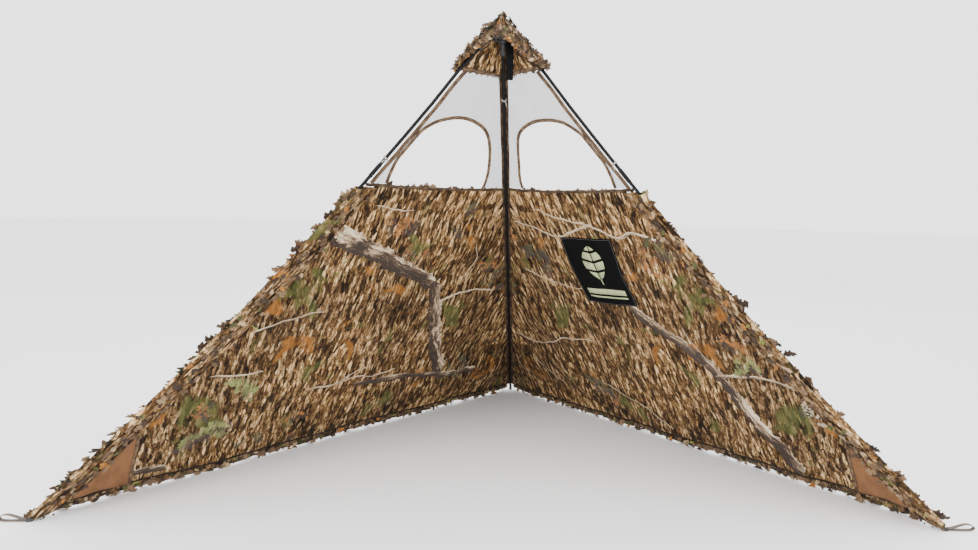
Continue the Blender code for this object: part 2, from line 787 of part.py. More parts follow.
hub_parts()
for leg_name in FEET:
    knuckle_parts(leg_name)
    pole_parts(leg_name)
for side_name in PANELS:
    side_trim(side_name)
    for half_name in ("outer", "inner"):
        wing_parts(side_name, half_name)
vertex_tape()
cap_parts()
bpy.context.view_layer.update()
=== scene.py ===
"""Looks of the ground blind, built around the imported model. Metres, +Z up."""

import math
import random

import bmesh
import bpy
import numpy as np
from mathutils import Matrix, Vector


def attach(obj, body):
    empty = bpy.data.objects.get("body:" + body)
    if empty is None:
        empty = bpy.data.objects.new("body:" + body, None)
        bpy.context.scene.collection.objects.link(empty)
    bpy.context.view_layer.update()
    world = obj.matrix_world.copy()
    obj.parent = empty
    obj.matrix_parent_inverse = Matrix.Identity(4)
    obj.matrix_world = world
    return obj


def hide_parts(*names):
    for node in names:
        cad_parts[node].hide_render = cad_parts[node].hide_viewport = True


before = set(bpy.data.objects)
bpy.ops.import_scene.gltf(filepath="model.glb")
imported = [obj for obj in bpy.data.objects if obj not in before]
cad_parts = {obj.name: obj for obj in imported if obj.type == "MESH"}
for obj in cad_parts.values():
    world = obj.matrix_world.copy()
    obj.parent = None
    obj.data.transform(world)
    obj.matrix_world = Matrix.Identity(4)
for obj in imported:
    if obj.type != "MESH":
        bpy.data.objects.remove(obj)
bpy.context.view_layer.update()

# Stance and fabric measures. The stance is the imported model's. The gaps at the vertex, the netting's
# top, the windows' width and the low ends of sleeves and backing are set here, for the looks.
FOOT_HALF_SPAN = 1.285
APEX_HEIGHT = 1.375
APEX_BEHIND_FEET = 0.062
PLAN_SHIFT = -0.6727
SIDE_BOW = 0.045
BOW_START = 0.092
CAMO_TOP = 0.512
TOP_SAG = 0.008
CAMO_BOTTOM = 1.597
SHELL_BOTTOM = 1.633
CAMO_TO_VERTEX = 0.0080
NET_TO_VERTEX = 0.0068
SHELL_TO_VERTEX = 0.0112
EDGE_TO_POLE = 0.020
EDGE_BINDING = 0.013
WINDOW_BINDING = 0.011
SLEEVE_INNER = 0.050
SLEEVE_OUTER = 0.013
SLEEVE_END = 1.866
GUSSET_SEAM = 0.695
TAPE_WIDTH = 0.025
WINDOW_SILL = 0.500
WINDOW_CROWN = 0.290
WINDOW_TOWARDS_POLE = 0.168
WINDOW_TOWARDS_VERTEX = {"left": 0.190, "right": 0.215}
NET_TOP = 0.143
CREASE_GAP = 0.0002
# How far each layer lies outside the panel's plane.
CAMO_LIFT = 0.0085
NET_LIFT = 0.0087
BINDING_LIFT = 0.0082
EDGE_LIFT = 0.0078
SHELL_LIFT = 0.0115
LEAF_LIFT = 0.0125
FRINGE_LIFT = 0.0102
SLEEVE_FALL = 0.72  # how much the sleeve's cloth drops for each metre towards the panel

APEX = np.array([0.0, APEX_BEHIND_FEET + PLAN_SHIFT, APEX_HEIGHT])
SIDE_LEG = math.sqrt(FOOT_HALF_SPAN**2 + APEX_BEHIND_FEET**2 + APEX_HEIGHT**2)
FEET = {
    "left": np.array([-FOOT_HALF_SPAN, PLAN_SHIFT, 0.0]),
    "right": np.array([FOOT_HALF_SPAN, PLAN_SHIFT, 0.0]),
    "centre": np.array([0.0, APEX[1] + math.hypot(FOOT_HALF_SPAN, APEX_BEHIND_FEET), 0.0]),
}
SIDES = ("left", "right")
HALVES = {"outer": 1, "inner": -1}
CAMERA_PLACE = (0.0874, -1.7099 + PLAN_SHIFT, 0.8962)
CAMERA_TURN = (-1.294, 6.477, 1.217)  # yaw, pitch and roll in degrees
CAMERA_LENS = 23.55
CAMERA_SHIFT = (-0.0570, 0.0035)

# ---------------------------------------------------------------- camera, floor and light


def unit(vector):
    """The vector's direction, of length one."""
    vector = np.asarray(vector, float)
    return vector / np.linalg.norm(vector)


def add_camera():
    """A standing photographer's view from the open side."""
    yaw, pitch, roll = (math.radians(angle) for angle in CAMERA_TURN)
    forward = Vector(
        (-math.sin(yaw) * math.cos(pitch), math.cos(yaw) * math.cos(pitch), -math.sin(pitch))
    )
    right = Vector((math.cos(yaw), math.sin(yaw), 0.0))
    up = right.cross(forward)
    x_axis = right * math.cos(roll) + up * math.sin(roll)
    y_axis = up * math.cos(roll) - right * math.sin(roll)
    data = bpy.data.cameras.new("camera")
    data.sensor_width = 36.0
    data.lens = CAMERA_LENS
    data.shift_x, data.shift_y = CAMERA_SHIFT
    data.clip_start = 0.05
    camera = bpy.data.objects.new("camera", data)
    bpy.context.collection.objects.link(camera)
    matrix = camera.matrix_world.copy()
    for column, axis in enumerate((x_axis, y_axis, -forward)):
        for row in range(3):
            matrix[row][column] = axis[row]
    for row, value in enumerate(CAMERA_PLACE):
        matrix[row][3] = value
    camera.matrix_world = matrix
    bpy.context.scene.camera = camera


def add_light(name, size, power, place, aim):
    """A round soft lamp that points at its aim."""
    data = bpy.data.lights.new(name, "AREA")
    data.shape = "DISK"
    data.size = size
    data.energy = power
    lamp = bpy.data.objects.new(name, data)
    bpy.context.collection.objects.link(lamp)
    lamp.location = place
    direction = Vector(aim) - Vector(place)
    lamp.rotation_euler = direction.to_track_quat("-Z", "Y").to_euler()


def add_surroundings():
    """A plain pale floor, an even white sky and soft lamps."""
    world = bpy.data.worlds.new("studio")
    bpy.context.scene.world = world
    world.use_nodes = True
    sky = world.node_tree.nodes["Background"]
    sky.inputs["Color"].default_value = (1.0, 1.0, 1.0, 1.0)
    sky.inputs["Strength"].default_value = 2.8
    bm = bmesh.new()
    bmesh.ops.create_circle(bm, cap_ends=True, segments=64, radius=30.0)
    data = bpy.data.meshes.new("floor")
    bm.to_mesh(data)
    bm.free()
    floor = bpy.data.objects.new("floor", data)
    bpy.context.collection.objects.link(floor)
    floor.location.z = -0.0005
    data.materials.append(floor_material())
    add_light("key", 2.2, 110.0, (-1.6, -3.4, 3.4), (0.0, -0.2, 0.5))
    add_light("fill", 3.0, 50.0, (2.6, -2.6, 2.4), (0.2, -0.2, 0.5))
    add_light("back", 3.0, 60.0, (0.5, 3.2, 3.0), (0.0, 0.0, 0.6))


# ---------------------------------------------------------------- materials


class Nodes:
    """A node material under construction."""

    def __init__(self, name):
        self.material = bpy.data.materials.new(name)
        self.material.use_nodes = True
        self.tree = self.material.node_tree
        self.shader = self.tree.nodes["Principled BSDF"]

    def node(self, kind, inputs=(), **settings):
        """A new node with its inputs set or linked."""
        made = self.tree.nodes.new("ShaderNode" + kind)
        for key, value in settings.items():
            setattr(made, key, value)
        for key, value in dict(inputs).items():
            self.put(made.inputs[key], value)
        return made

    def put(self, socket, value):
        if isinstance(value, bpy.types.NodeSocket):
            self.tree.links.new(value, socket)
        else:
            socket.default_value = value

    def math(self, operation, first, second=0.0, third=0.0):
        made = self.node("Math", {0: first, 1: second, 2: third}, operation=operation)
        return made.outputs[0]

    def uv(self):
        return self.node("UVMap", uv_map="metres").outputs[0]

    def stretched(self, source, scale, shift=(0.0, 0.0, 0.0)):
        """Coordinates scaled by a different amount along each axis."""
        made = self.node("Mapping", {"Vector": source, "Scale": scale, "Location": shift})
        return made.outputs[0]

    def noise(self, vector, scale=1.0, detail=2.0, roughness=0.5, distortion=0.0):
        inputs = {"Vector": vector, "Scale": scale, "Detail": detail}
        inputs.update({"Roughness": roughness, "Distortion": distortion})
        return self.node("TexNoise", inputs).outputs[0]

    def cells(self, source, scale, warp):
        """Ragged flakes of that size: a random tone for each, and the distance to its edge."""
        place = self.stretched(source, scale)
        drift = self.node("TexNoise", {"Vector": place, "Scale": 1.2, "Detail": 3.0, "Roughness": 0.65})
        reach = {0: drift.outputs["Color"], 1: (warp, warp, 0.0)}
        moved = self.node("VectorMath", reach, operation="MULTIPLY")
        place = self.node("VectorMath", {0: place, 1: moved.outputs[0]}, operation="ADD").outputs[0]
        inputs = {"Vector": place, "Scale": 1.0}
        tone = self.node("TexVoronoi", inputs, voronoi_dimensions="2D").outputs["Color"]
        edge = self.node("TexVoronoi", inputs, voronoi_dimensions="2D", feature="DISTANCE_TO_EDGE")
        return tone, edge.outputs["Distance"]

    def ramp(self, factor, stops):
        """A colour ramp; a stop's colour may be one number for a grey."""
        made = self.node("ValToRGB", {"Fac": factor})
        ramp = made.color_ramp
        while len(ramp.elements) < len(stops):
            ramp.elements.new(0.5)
        for element, (place, colour) in zip(ramp.elements, stops):
            element.position = place
            if not hasattr(colour, "__len__"):
                colour = (colour,) * 3
            element.color = (*colour, 1.0)
        return made.outputs[0]

    def mix(self, factor, first, second, kind="MIX"):
        made = self.node("Mix", data_type="RGBA", blend_type=kind)
        self.put(made.inputs[0], factor)
        for socket, value in ((made.inputs[6], first), (made.inputs[7], second)):
            if not isinstance(value, bpy.types.NodeSocket) and len(value) == 3:
                value = (*value, 1.0)
            self.put(socket, value)
        return made.outputs[2]

    def weave(self, source, pitch):
        """Height of a plain weave of that thread pitch."""
        waves = []
        for direction in ("X", "Y"):
            inputs = {"Vector": source, "Scale": 0.314 / pitch, "Distortion": 0.0}
            made = self.node("TexWave", inputs, bands_direction=direction, wave_profile="SIN")
            waves.append(made.outputs["Fac"])
        return self.math("MULTIPLY", waves[0], waves[1])

    def bump(self, height, strength, distance, normal=None):
        inputs = {"Height": height, "Strength": strength, "Distance": distance}
        if normal is not None:
            inputs["Normal"] = normal
        return self.node("Bump", inputs).outputs[0]

    def finish(self, colour, roughness, normal=None, **fixed):
        self.put(self.shader.inputs["Base Color"], colour)
        self.put(self.shader.inputs["Roughness"], roughness)
        if normal is not None:
            self.put(self.shader.inputs["Normal"], normal)
        for key, value in fixed.items():
            self.shader.inputs[key.replace("_", " ")].default_value = value
        return self.material


def floor_material():
    """Matt pale studio floor."""
    made = Nodes("floor")
    place = made.node("NewGeometry").outputs["Position"]
    tone = made.ramp(made.noise(place, 0.6, 3.0), [(0.3, 0.86), (0.7, 0.90)])
    return made.finish(tone, 0.9, Specular_IOR_Level=0.1)


DARK_WOOD = np.array((0.024, 0.014, 0.009))
MID_WOOD = np.array((0.105, 0.064, 0.037))
TAN_WOOD = np.array((0.330, 0.235, 0.145))
PALE_WOOD = np.array((0.640, 0.520, 0.360))
DARK_BARK = (0.010, 0.006, 0.004)
UMBER = (0.046, 0.026, 0.0115)
BARK = (0.118, 0.064, 0.026)
TAN = (0.270, 0.162, 0.072)
PALE_BARK = (0.710, 0.510, 0.285)


def bark_colour(made, source):
    """Flakes and streaks of bark that run down the cloth."""
    fine = made.noise(made.stretched(source, (172.0, 41.0, 1.0)), 1.0, 5.0, 0.68, 0.8)
    flake, gap = made.cells(source, (120.0, 29.0, 1.0), 1.1)
    streak = made.math("MULTIPLY_ADD", flake, 0.30, made.math("MULTIPLY", fine, 0.70))
    colour = made.ramp(
        streak,
        [(0.37, DARK_BARK), (0.44, UMBER), (0.505, BARK), (0.57, TAN), (0.65, PALE_BARK)],
    )
    colour = made.mix(0.75, colour, made.ramp(gap, [(0.0, 0.22), (0.12, 1.0)]), "MULTIPLY")
    crack = made.noise(made.stretched(source, (95.0, 13.0, 1.0), (3.1, 7.7, 0.0)), 1.0, 3.0, 0.6, 1.6)
    crack = made.ramp(crack, [(0.38, 0.16), (0.46, 1.0)])
    colour = made.mix(0.75, colour, crack, "MULTIPLY")
    drift = made.noise(made.stretched(source, (3.4, 2.6, 1.0), (9.0, 2.0, 0.0)), 1.0, 2.0)
    stops = [(0.30, (0.56, 0.53, 0.50)), (0.50, (0.98, 0.94, 0.88)), (0.72, (1.42, 1.32, 1.16))]
    colour = made.mix(1.0, colour, made.ramp(drift, stops), "MULTIPLY")
    rust = ((5.0, 1.0, 0.0), (0.30, 0.115, 0.022), 0.63)
    green = ((1.0, 8.0, 0.0), (0.075, 0.085, 0.024), 0.60)
    for shift, tone, low in (rust, green):
        patch = made.noise(made.stretched(source, (7.0, 5.0, 1.0), shift), 1.0, 3.0, 0.6, 0.8)
        ink = made.math("MULTIPLY", made.ramp(patch, [(low, 0.0), (low + 0.05, 1.0)]), streak)
        colour = made.mix(made.math("MULTIPLY", ink, 1.3), colour, tone)
    return colour


def camo_material():
    """The printed bark cloth of the panels."""
    made = Nodes("camo_print_cloth")
    uv = made.uv()
    colour = bark_colour(made, uv)
    weave = made.weave(uv, 0.0011)
    colour = made.mix(0.12, colour, made.ramp(weave, [(0.0, 0.55), (1.0, 1.2)]), "MULTIPLY")
    normal = made.bump(weave, 0.25, 0.0004)
    slub = made.noise(made.stretched(uv, (220.0, 40.0, 1.0)), 1.0, 2.0)
    normal = made.bump(slub, 0.15, 0.0006, normal)
    rough = made.ramp(slub, [(0.3, 0.78), (0.7, 0.92)])
    return made.finish(colour, rough, normal, Specular_IOR_Level=0.08, Sheen_Weight=0.03)


def tinted_material(name, grain, rough_low, rough_high, vein=False, worn=False):
    """Cloth or print that takes its colour from the points, with grain and weave added."""
    made = Nodes(name)
    colour = made.node("Attribute", attribute_name="tint").outputs["Color"]
    uv = made.uv()
    speck = made.noise(made.stretched(uv, grain), 1.0, 4.0, 0.65, 0.6)
    colour = made.mix(1.0, colour, made.ramp(speck, [(0.25, 0.42), (0.48, 0.92), (0.72, 1.35)]), "MULTIPLY")
    if worn:
        cover = made.noise(made.stretched(uv, (75.0, 24.0, 1.0), (2.0, 5.0, 0.0)), 1.0, 4.0, 0.65, 0.6)
        colour = made.mix(made.ramp(cover, [(0.40, 0.05), (0.52, 0.88)]), bark_colour(made, uv), colour)
    if vein:
        local = made.node("UVMap", uv_map="leaf").outputs[0]
        split = made.node("SeparateXYZ", {0: local})
        side = made.math("ABSOLUTE", split.outputs[1])
        along = made.math("MULTIPLY", split.outputs[0], 9.0)
        rib = made.math("SUBTRACT", along, made.math("MULTIPLY", side, 7.0))
        rib = made.math("ABSOLUTE", made.math("SUBTRACT", made.math("FRACT", rib), 0.5))
        rib = made.ramp(rib, [(0.0, 0.62), (0.10, 1.0)])
        mid = made.ramp(side, [(0.0, 0.55), (0.05, 1.0)])
        colour = made.mix(0.8, colour, rib, "MULTIPLY")
        colour = made.mix(0.8, colour, mid, "MULTIPLY")
    weave = made.weave(uv, 0.0009)
    normal = made.bump(weave, 0.3, 0.0004)
    normal = made.bump(speck, 0.2, 0.0008, normal)
    rough = made.ramp(speck, [(0.3, rough_low), (0.7, rough_high)])
    return made.finish(colour, rough, normal, Specular_IOR_Level=0.25, Sheen_Weight=0.1)


def branch_material():
    """A printed branch; its map runs along in metres, then across from the lit side."""
    made = Nodes("printed_branch")
    uv = made.uv()
    local = made.node("UVMap", uv_map="leaf").outputs[0]
    across = made.node("SeparateXYZ", {0: local}).outputs[1]
    pale = made.node("Attribute", attribute_name="tint").outputs["Fac"]
    coarse = made.noise(made.stretched(local, (17.0, 2.1, 1.0)), 1.0, 3.0, 0.6, 0.7)
    fine = made.noise(made.stretched(local, (48.0, 8.0, 1.0), (4.0, 1.0, 0.0)), 1.0, 4.0, 0.65, 0.5)
    level = made.math("MULTIPLY_ADD", coarse, 0.60, made.math("MULTIPLY", fine, 0.40))
    level = made.math("MULTIPLY_ADD", across, -0.085, level)
    level = made.math("MULTIPLY_ADD", made.math("SUBTRACT", pale, 0.62), 0.28, level)
    stops = [(0.40, DARK_WOOD), (0.49, MID_WOOD), (0.54, TAN_WOOD), (0.62, PALE_WOOD)]
    colour = made.ramp(level, stops)
    weave = made.weave(uv, 0.0011)
    normal = made.bump(weave, 0.25, 0.0004)
    normal = made.bump(fine, 0.2, 0.0006, normal)
    rough = made.ramp(fine, [(0.3, 0.76), (0.7, 0.90)])
    return made.finish(colour, rough, normal, Specular_IOR_Level=0.2, Sheen_Weight=0.1)


def shell_material():
    """The printed backing behind the loose leaves."""
    made = Nodes("leaf_backing")
    uv = made.uv()
    colour = bark_colour(made, uv)
    blot = made.noise(made.stretched(uv, (22.0, 22.0, 1.0)), 1.0, 3.0, 0.5, 0.5)
    green = made.ramp(blot, [(0.50, 0.0), (0.62, 0.75)])
    colour = made.mix(green, colour, (0.085, 0.095, 0.035))
    colour = made.mix(1.0, colour, (0.55, 0.55, 0.55), "MULTIPLY")
    normal = made.bump(made.weave(uv, 0.0011), 0.3, 0.0004)
    rough = made.ramp(blot, [(0.3, 0.8), (0.7, 0.95)])
    return made.finish(colour, rough, normal, Specular_IOR_Level=0.2)


def net_material():
    """Fine pale netting that can be seen through."""
    made = Nodes("window_netting")
    uv = made.uv()
    split = made.node("SeparateXYZ", {0: uv})
    threads = []
    for axis in (0, 1):
        wobble = made.noise(made.stretched(uv, (90.0, 90.0, 1.0)), 1.0, 1.0)
        along = made.math("MULTIPLY_ADD", split.outputs[axis], 1 / 0.0013, made.math("MULTIPLY", wobble, 0.5))
        threads.append(made.math("LESS_THAN", made.math("FRACT", along), 0.36))
    cover = made.math("MAXIMUM", threads[0], threads[1])
    shade = made.noise(made.stretched(uv, (9.0, 5.0, 1.0)), 1.0, 3.0)
    colour = made.ramp(shade, [(0.3, (0.27, 0.255, 0.270)), (0.7, (0.35, 0.335, 0.350))])
    normal = made.bump(cover, 0.3, 0.0003)
    made.put(made.shader.inputs["Alpha"], cover)
    made.material.blend_method = "HASHED"
    rough = made.ramp(shade, [(0.3, 0.7), (0.7, 0.85)])
    return made.finish(colour, rough, normal, Specular_IOR_Level=0.2)


def binding_material(name="binding_tape", dark=1.0):
    """Printed edging tape with two rows of stitches; its map runs along, then across."""
    made = Nodes(name)
    uv = made.uv()
    tape = made.noise(made.stretched(uv, (45.0, 160.0, 1.0)), 1.0, 3.0, 0.6, 0.5)
    stops = [(0.34, (0.030, 0.017, 0.010)), (0.48, (0.105, 0.058, 0.030)), (0.66, (0.260, 0.165, 0.090))]
    colour = made.ramp(tape, [(p, tuple(c * dark for c in rgb)) for p, rgb in stops])
    split = made.node("SeparateXYZ", {0: uv})
    stitch = made.math("LESS_THAN", made.math("FRACT", made.math("MULTIPLY", split.outputs[0], 330.0)), 0.66)
    row = made.math("ABSOLUTE", made.math("SUBTRACT", made.math("ABSOLUTE", split.outputs[1]), 0.0038))
    thread = made.math("MULTIPLY", stitch, made.math("LESS_THAN", row, 0.0005))
    colour = made.mix(made.math("MULTIPLY", thread, 0.7), colour, (0.030, 0.020, 0.014))
    weave = made.weave(uv, 0.0008)
    normal = made.bump(weave, 0.35, 0.0004)
    normal = made.bump(thread, 0.4, 0.0006, normal)
    rough = made.ramp(tape, [(0.3, 0.75), (0.7, 0.9)])
    return made.finish(colour, rough, normal, Specular_IOR_Level=0.25)


def plain_cloth_material(name, base, pitch=0.0009, shine=0.25, sheen=0.1):
    """Plain woven cloth with slight wear."""
    made = Nodes(name)
    uv = made.uv()
    wear = made.noise(made.stretched(uv, (30.0, 12.0, 1.0)), 1.0, 4.0, 0.6)
    stops = [(0.3, tuple(c * 0.72 for c in base)), (0.7, tuple(c * 1.22 for c in base))]
    colour = made.ramp(wear, stops)
    weave = made.weave(uv, pitch)
    colour = made.mix(0.35, colour, made.ramp(weave, [(0.0, 0.6), (1.0, 1.3)]), "MULTIPLY")
    normal = made.bump(weave, 0.5, 0.0005)
    rough = made.ramp(wear, [(0.3, 0.75), (0.7, 0.92)])
    return made.finish(colour, rough, normal, Specular_IOR_Level=shine, Sheen_Weight=sheen)


def hard_material(name, base, rough, grain, scuff, metallic=0.0, shine=0.3):
    """Moulded, drawn or plated stock with fine scuffs."""
    made = Nodes(name)
    place = made.node("TexCoord").outputs["Object"]
    fine = made.noise(place, grain, 4.0, 0.6)
    worn = made.noise(place, grain * 0.14, 3.0, 0.7)
    pale = tuple(min(1.0, c * 1.25 + scuff) for c in base)
    stops = [(0.35, tuple(c * 0.8 for c in base)), (0.72, pale)]
    colour = made.ramp(worn, stops)
    tone = made.ramp(fine, [(0.3, rough - 0.08), (0.7, rough + 0.12)])
    normal = made.bump(fine, 0.12, 0.0003)
    return made.finish(colour, tone, normal, Metallic=metallic, Specular_IOR_Level=shine)


add_camera()
add_surroundings()

CAMO = camo_material()
PRINT = tinted_material("printed_motif", (260.0, 60.0, 1.0), 0.76, 0.90, worn=True)
BRANCH = branch_material()
LEAF = tinted_material("cut_leaf_cloth", (150.0, 150.0, 1.0), 0.72, 0.92, vein=True)
BACKING = shell_material()
NET = net_material()
BINDING = binding_material("binding_tape", 0.74)
SEAM_TAPE = binding_material("seam_tape", 0.5)
HEM = binding_material("rolled_hem", 0.42)
# The bottom hem's tape is made near black: partly a real dark hem, partly painted shadow under the cloth's
# lower edge.
HEM_AND_PAINTED_SHADOW = binding_material("dark_hem", 0.10)
PLAIN_BROWN = plain_cloth_material("plain_brown_cloth", (0.195, 0.090, 0.038), 0.0009, 0.12, 0.03)
WEBBING = plain_cloth_material("dark_webbing", (0.004, 0.004, 0.004), 0.0016, 0.05, 0.0)
LOOP_WEBBING = plain_cloth_material("loop_webbing", (0.105, 0.078, 0.062), 0.0016)
ELASTIC = plain_cloth_material("pale_elastic", (0.36, 0.34, 0.31), 0.0007)
BADGE = plain_cloth_material("black_badge_cloth", (0.0045, 0.0045, 0.005), 0.0010, 0.05, 0.0)
BADGE_PALE = plain_cloth_material("pale_badge_thread", (0.400, 0.450, 0.230), 0.0008)
BADGE_THREAD = plain_cloth_material("dark_badge_thread", (0.050, 0.048, 0.046), 0.0008)

CAD_LOOKS = {
    "pole": hard_material("satin_rod", (0.004, 0.004, 0.0045), 0.46, 900.0, 0.002, shine=0.12),
    "hub_plastic": hard_material("moulded_nylon", (0.020, 0.021, 0.024), 0.42, 700.0, 0.02),
    "steel": hard_material("plated_steel", (0.56, 0.56, 0.58), 0.30, 1200.0, 0.0, metallic=1.0),
    "foot_plastic": hard_material("moulded_tip", (0.022, 0.022, 0.023), 0.58, 600.0, 0.03),
    "cord": plain_cloth_material("shock_cord_braid", (0.70, 0.68, 0.64), 0.0007),
}

# ---------------------------------------------------------------- the panels' own coordinates


def bow(along):
    """How far a side pole is bent towards the centre leg."""
    share = np.clip((along - BOW_START) / (SIDE_LEG - BOW_START), 0.0, 1.0)
    ease = np.minimum(1.0, share / 0.12)
    return SIDE_BOW * np.sin(math.pi * share) * ease * ease * (3 - 2 * ease)


class Panel:
    """The plane through the centre leg and one side leg: x across, y down the slope, n outward."""

    def __init__(self, side):
        foot, centre = FEET[side], FEET["centre"]
        self.across = unit(foot - centre)
        self.down = unit((foot + centre) / 2 - APEX)
        self.out = np.cross(self.across, self.down)
        if self.out[1] < 0:
            self.out = -self.out
        self.half_angle = math.asin(np.linalg.norm(foot - centre) / 2 / SIDE_LEG)
        self.sine, self.cosine = math.sin(self.half_angle), math.cos(self.half_angle)

    def place(self, local):
        """World points of panel coordinates."""
        local = np.asarray(local, float).reshape(-1, 3)
        return APEX + local[:, :1] * self.across + local[:, 1:2] * self.down + local[:, 2:] * self.out

    def side_x(self, y, inset):
        """Where a line at that inset from the bowed side pole crosses the height y."""
        y = np.asarray(y, float)
        along = y / self.cosine
        for _ in range(6):
            along = (y - (inset + bow(along)) * self.sine) / self.cosine
        return along * self.sine - (inset + bow(along)) * self.cosine

    def centre_x(self, y, inset):
        """The same for the straight centre pole."""
        y = np.asarray(y, float)
        along = (y - inset * self.sine) / self.cosine
        return inset * self.cosine - along * self.sine

    def edge(self, sign, y, inset):
        """Where the outer half (sign 1) or the inner half (sign -1) ends."""
        return self.side_x(y, inset) if sign > 0 else self.centre_x(y, inset)


PANELS = {side: Panel(side) for side in SIDES}


def camo_top(x):
    """The gently sagging top edge of the lower cloth."""
    share = np.minimum(1.0, np.abs(x) / 0.28)
    return CAMO_TOP + TOP_SAG * (1 - share**2)


def ripple_set(seed, count, short, long, depth):
    """Directions, wave numbers, phases and depths of a set of ripples."""
    rng = random.Random(seed)
    waves = []
    for _ in range(count):
        angle = rng.uniform(0.0, math.pi)
        length = short * (long / short) ** rng.random()
        number = 2 * math.pi / length
        waves.append(
            (number * math.cos(angle), number * math.sin(angle), rng.uniform(0.0, 6.28),
             depth * (length / long) ** 0.8 * rng.uniform(0.5, 1.0))
        )
    return waves


RIPPLES = {"left": ripple_set(11, 9, 0.07, 0.42, 0.0034), "right": ripple_set(23, 9, 0.07, 0.42, 0.0034)}


def relief(side, x, y):
    """How far the hung cloth stands out of its plane, the same for each layer of it."""
    x, y = np.asarray(x, float), np.asarray(y, float)
    height = np.zeros(np.broadcast(x, y).shape)
    for u, v, phase, depth in RIPPLES[side]:
        height = height + depth * np.sin(u * x + v * y + phase)
    # A few tension folds fan out from the window's foot and from the low corners.
    fan = np.arctan2(x + 0.10, y - 0.36)
    reach = np.exp(-(((y - 0.78) / 0.26) ** 2))
    height = height + 0.0016 * reach * np.sin(fan * 13.0 + 0.7)
    low = np.exp(-(((y - 1.50) / 0.12) ** 2))
    height = height + 0.0022 * low * np.sin(x * 24.0 + y * 6.0)
    panel = PANELS[side]
    to_vertex = (x - panel.centre_x(y, 0.0)) * panel.cosine
    to_pole = (panel.side_x(y, 0.0) - x) * panel.cosine
    calm = np.clip(to_vertex / 0.10, 0.0, 1.0) * np.clip((to_pole - 0.03) / 0.08, 0.0, 1.0)
    return height * calm * np.clip((y - CAMO_TOP + 0.02) / 0.10, 0.25, 1.0)


# ---------------------------------------------------------------- mesh helpers


def build(name, verts, faces, materials, uvs=None, tints=None, leaf_uvs=None, smooth=True):
    """An object from world points, with a map in metres and optional colours."""
    data = bpy.data.meshes.new(name)
    data.from_pydata([tuple(v) for v in np.asarray(verts, float)], [], [tuple(f) for f in faces])
    for look in materials:
        data.materials.append(look)
    loops = np.zeros(len(data.loops), dtype=np.int64)
    data.loops.foreach_get("vertex_index", loops)
    for layer, values in (("metres", uvs), ("leaf", leaf_uvs)):
        if values is None:
            continue
        made = data.uv_layers.new(name=layer)
        flat = np.asarray(values, float)[loops].astype(np.float32).ravel()
        made.data.foreach_set("uv", flat)
    if tints is not None:
        colours = np.ones((len(data.vertices), 4), dtype=np.float32)
        colours[:, :3] = tints
        made = data.color_attributes.new("tint", "FLOAT_COLOR", "POINT")
        made.data.foreach_set("color", colours.ravel())
    if smooth:
        data.polygons.foreach_set("use_smooth", [True] * len(data.polygons))
    data.update()
    obj = bpy.data.objects.new(name, data)
    bpy.context.collection.objects.link(obj)
    return obj


def thicken(obj, thickness, offset=0.0):
    """Gives a sheet its thickness for good."""
    modifier = obj.modifiers.new("thickness", "SOLIDIFY")
    modifier.thickness = thickness
    modifier.offset = offset
    graph = bpy.context.evaluated_depsgraph_get()
    data = bpy.data.meshes.new_from_object(obj.evaluated_get(graph))
    obj.modifiers.clear()
    old = obj.data
    obj.data = data
    bpy.data.meshes.remove(old)
    obj.data.name = obj.name


def tangents(path):
    """Unit directions along a path."""
    along = np.gradient(path, axis=0)
    return along / np.linalg.norm(along, axis=1)[:, None]


def shares(rows, columns):
    """Shares from 0 to 1 down the rows and across the columns of a grid."""
    return np.linspace(0.0, 1.0, rows)[:, None], np.linspace(0.0, 1.0, columns)[None, :]


def ring_faces(rings, count, capped=True):
    """Faces between rings of points, with both ends closed where capped."""
    faces = []
    for r in range(rings - 1):
        low, high = r * count, (r + 1) * count
        for i in range(count):
            j = (i + 1) % count
            faces.append((low + i, low + j, high + j, high + i))
    if capped:
        last = (rings - 1) * count
        faces.append(tuple(range(count))[::-1])
        faces.append(tuple(last + i for i in range(count)))
    return faces


def cut_at_crease(bm):
    """Cuts a flat mesh at its panel's crease."""
    parts = list(bm.verts) + list(bm.edges) + list(bm.faces)
    bmesh.ops.bisect_plane(bm, geom=parts, plane_co=(0.0, 0.0, 0.0), plane_no=(1.0, 0.0, 0.0), dist=1e-6)
    bm.verts.ensure_lookup_table()


def grid_faces(rows, columns, flip=False):
    """Quads between the points of a grid."""
    faces = []
    for r in range(rows - 1):
        for c in range(columns - 1):
            a = r * columns + c
            face = (a, a + 1, a + columns + 1, a + columns)
            faces.append(face[::-1] if flip else face)
    return faces


def grid_cloth(name, side, x, y, n, flip, look):
    """A sheet through a grid of panel points, and the points."""
    local = np.stack(np.broadcast_arrays(x, y, n), axis=-1)
    faces = grid_faces(*local.shape[:2], flip)
    local = local.reshape(-1, 3)
    return build(name, PANELS[side].place(local), faces, [look], local[:, :2]), local


def finish_piece(obj, body, replaced=()):
    """Gives a piece its body and the CAD nodes that it stands for."""
    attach(obj, body)
    if replaced:
        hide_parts(*replaced)
    return obj


def sweep_ribbon(name, path, across, outward, profile, look):
    """A flat tape: a profile of (across, outward) pairs carried along a path.

    Across and outward are one direction each, or one for each point of the path.
    """
    path = np.asarray(path, float)
    across, outward = (np.broadcast_to(np.asarray(a, float), path.shape) for a in (across, outward))
    profile = np.asarray(profile, float)
    rings = (
        path[:, None, :]
        + across[:, None, :] * profile[None, :, :1]
        + outward[:, None, :] * profile[None, :, 1:]
    )
    run = np.concatenate([[0.0], np.cumsum(np.linalg.norm(np.diff(path, axis=0), axis=1))])
    uvs = np.stack(np.broadcast_arrays(run[:, None], profile[None, :, 0]), axis=-1).reshape(-1, 2)
    return build(name, rings.reshape(-1, 3), ring_faces(len(path), len(profile)), [look], uvs)


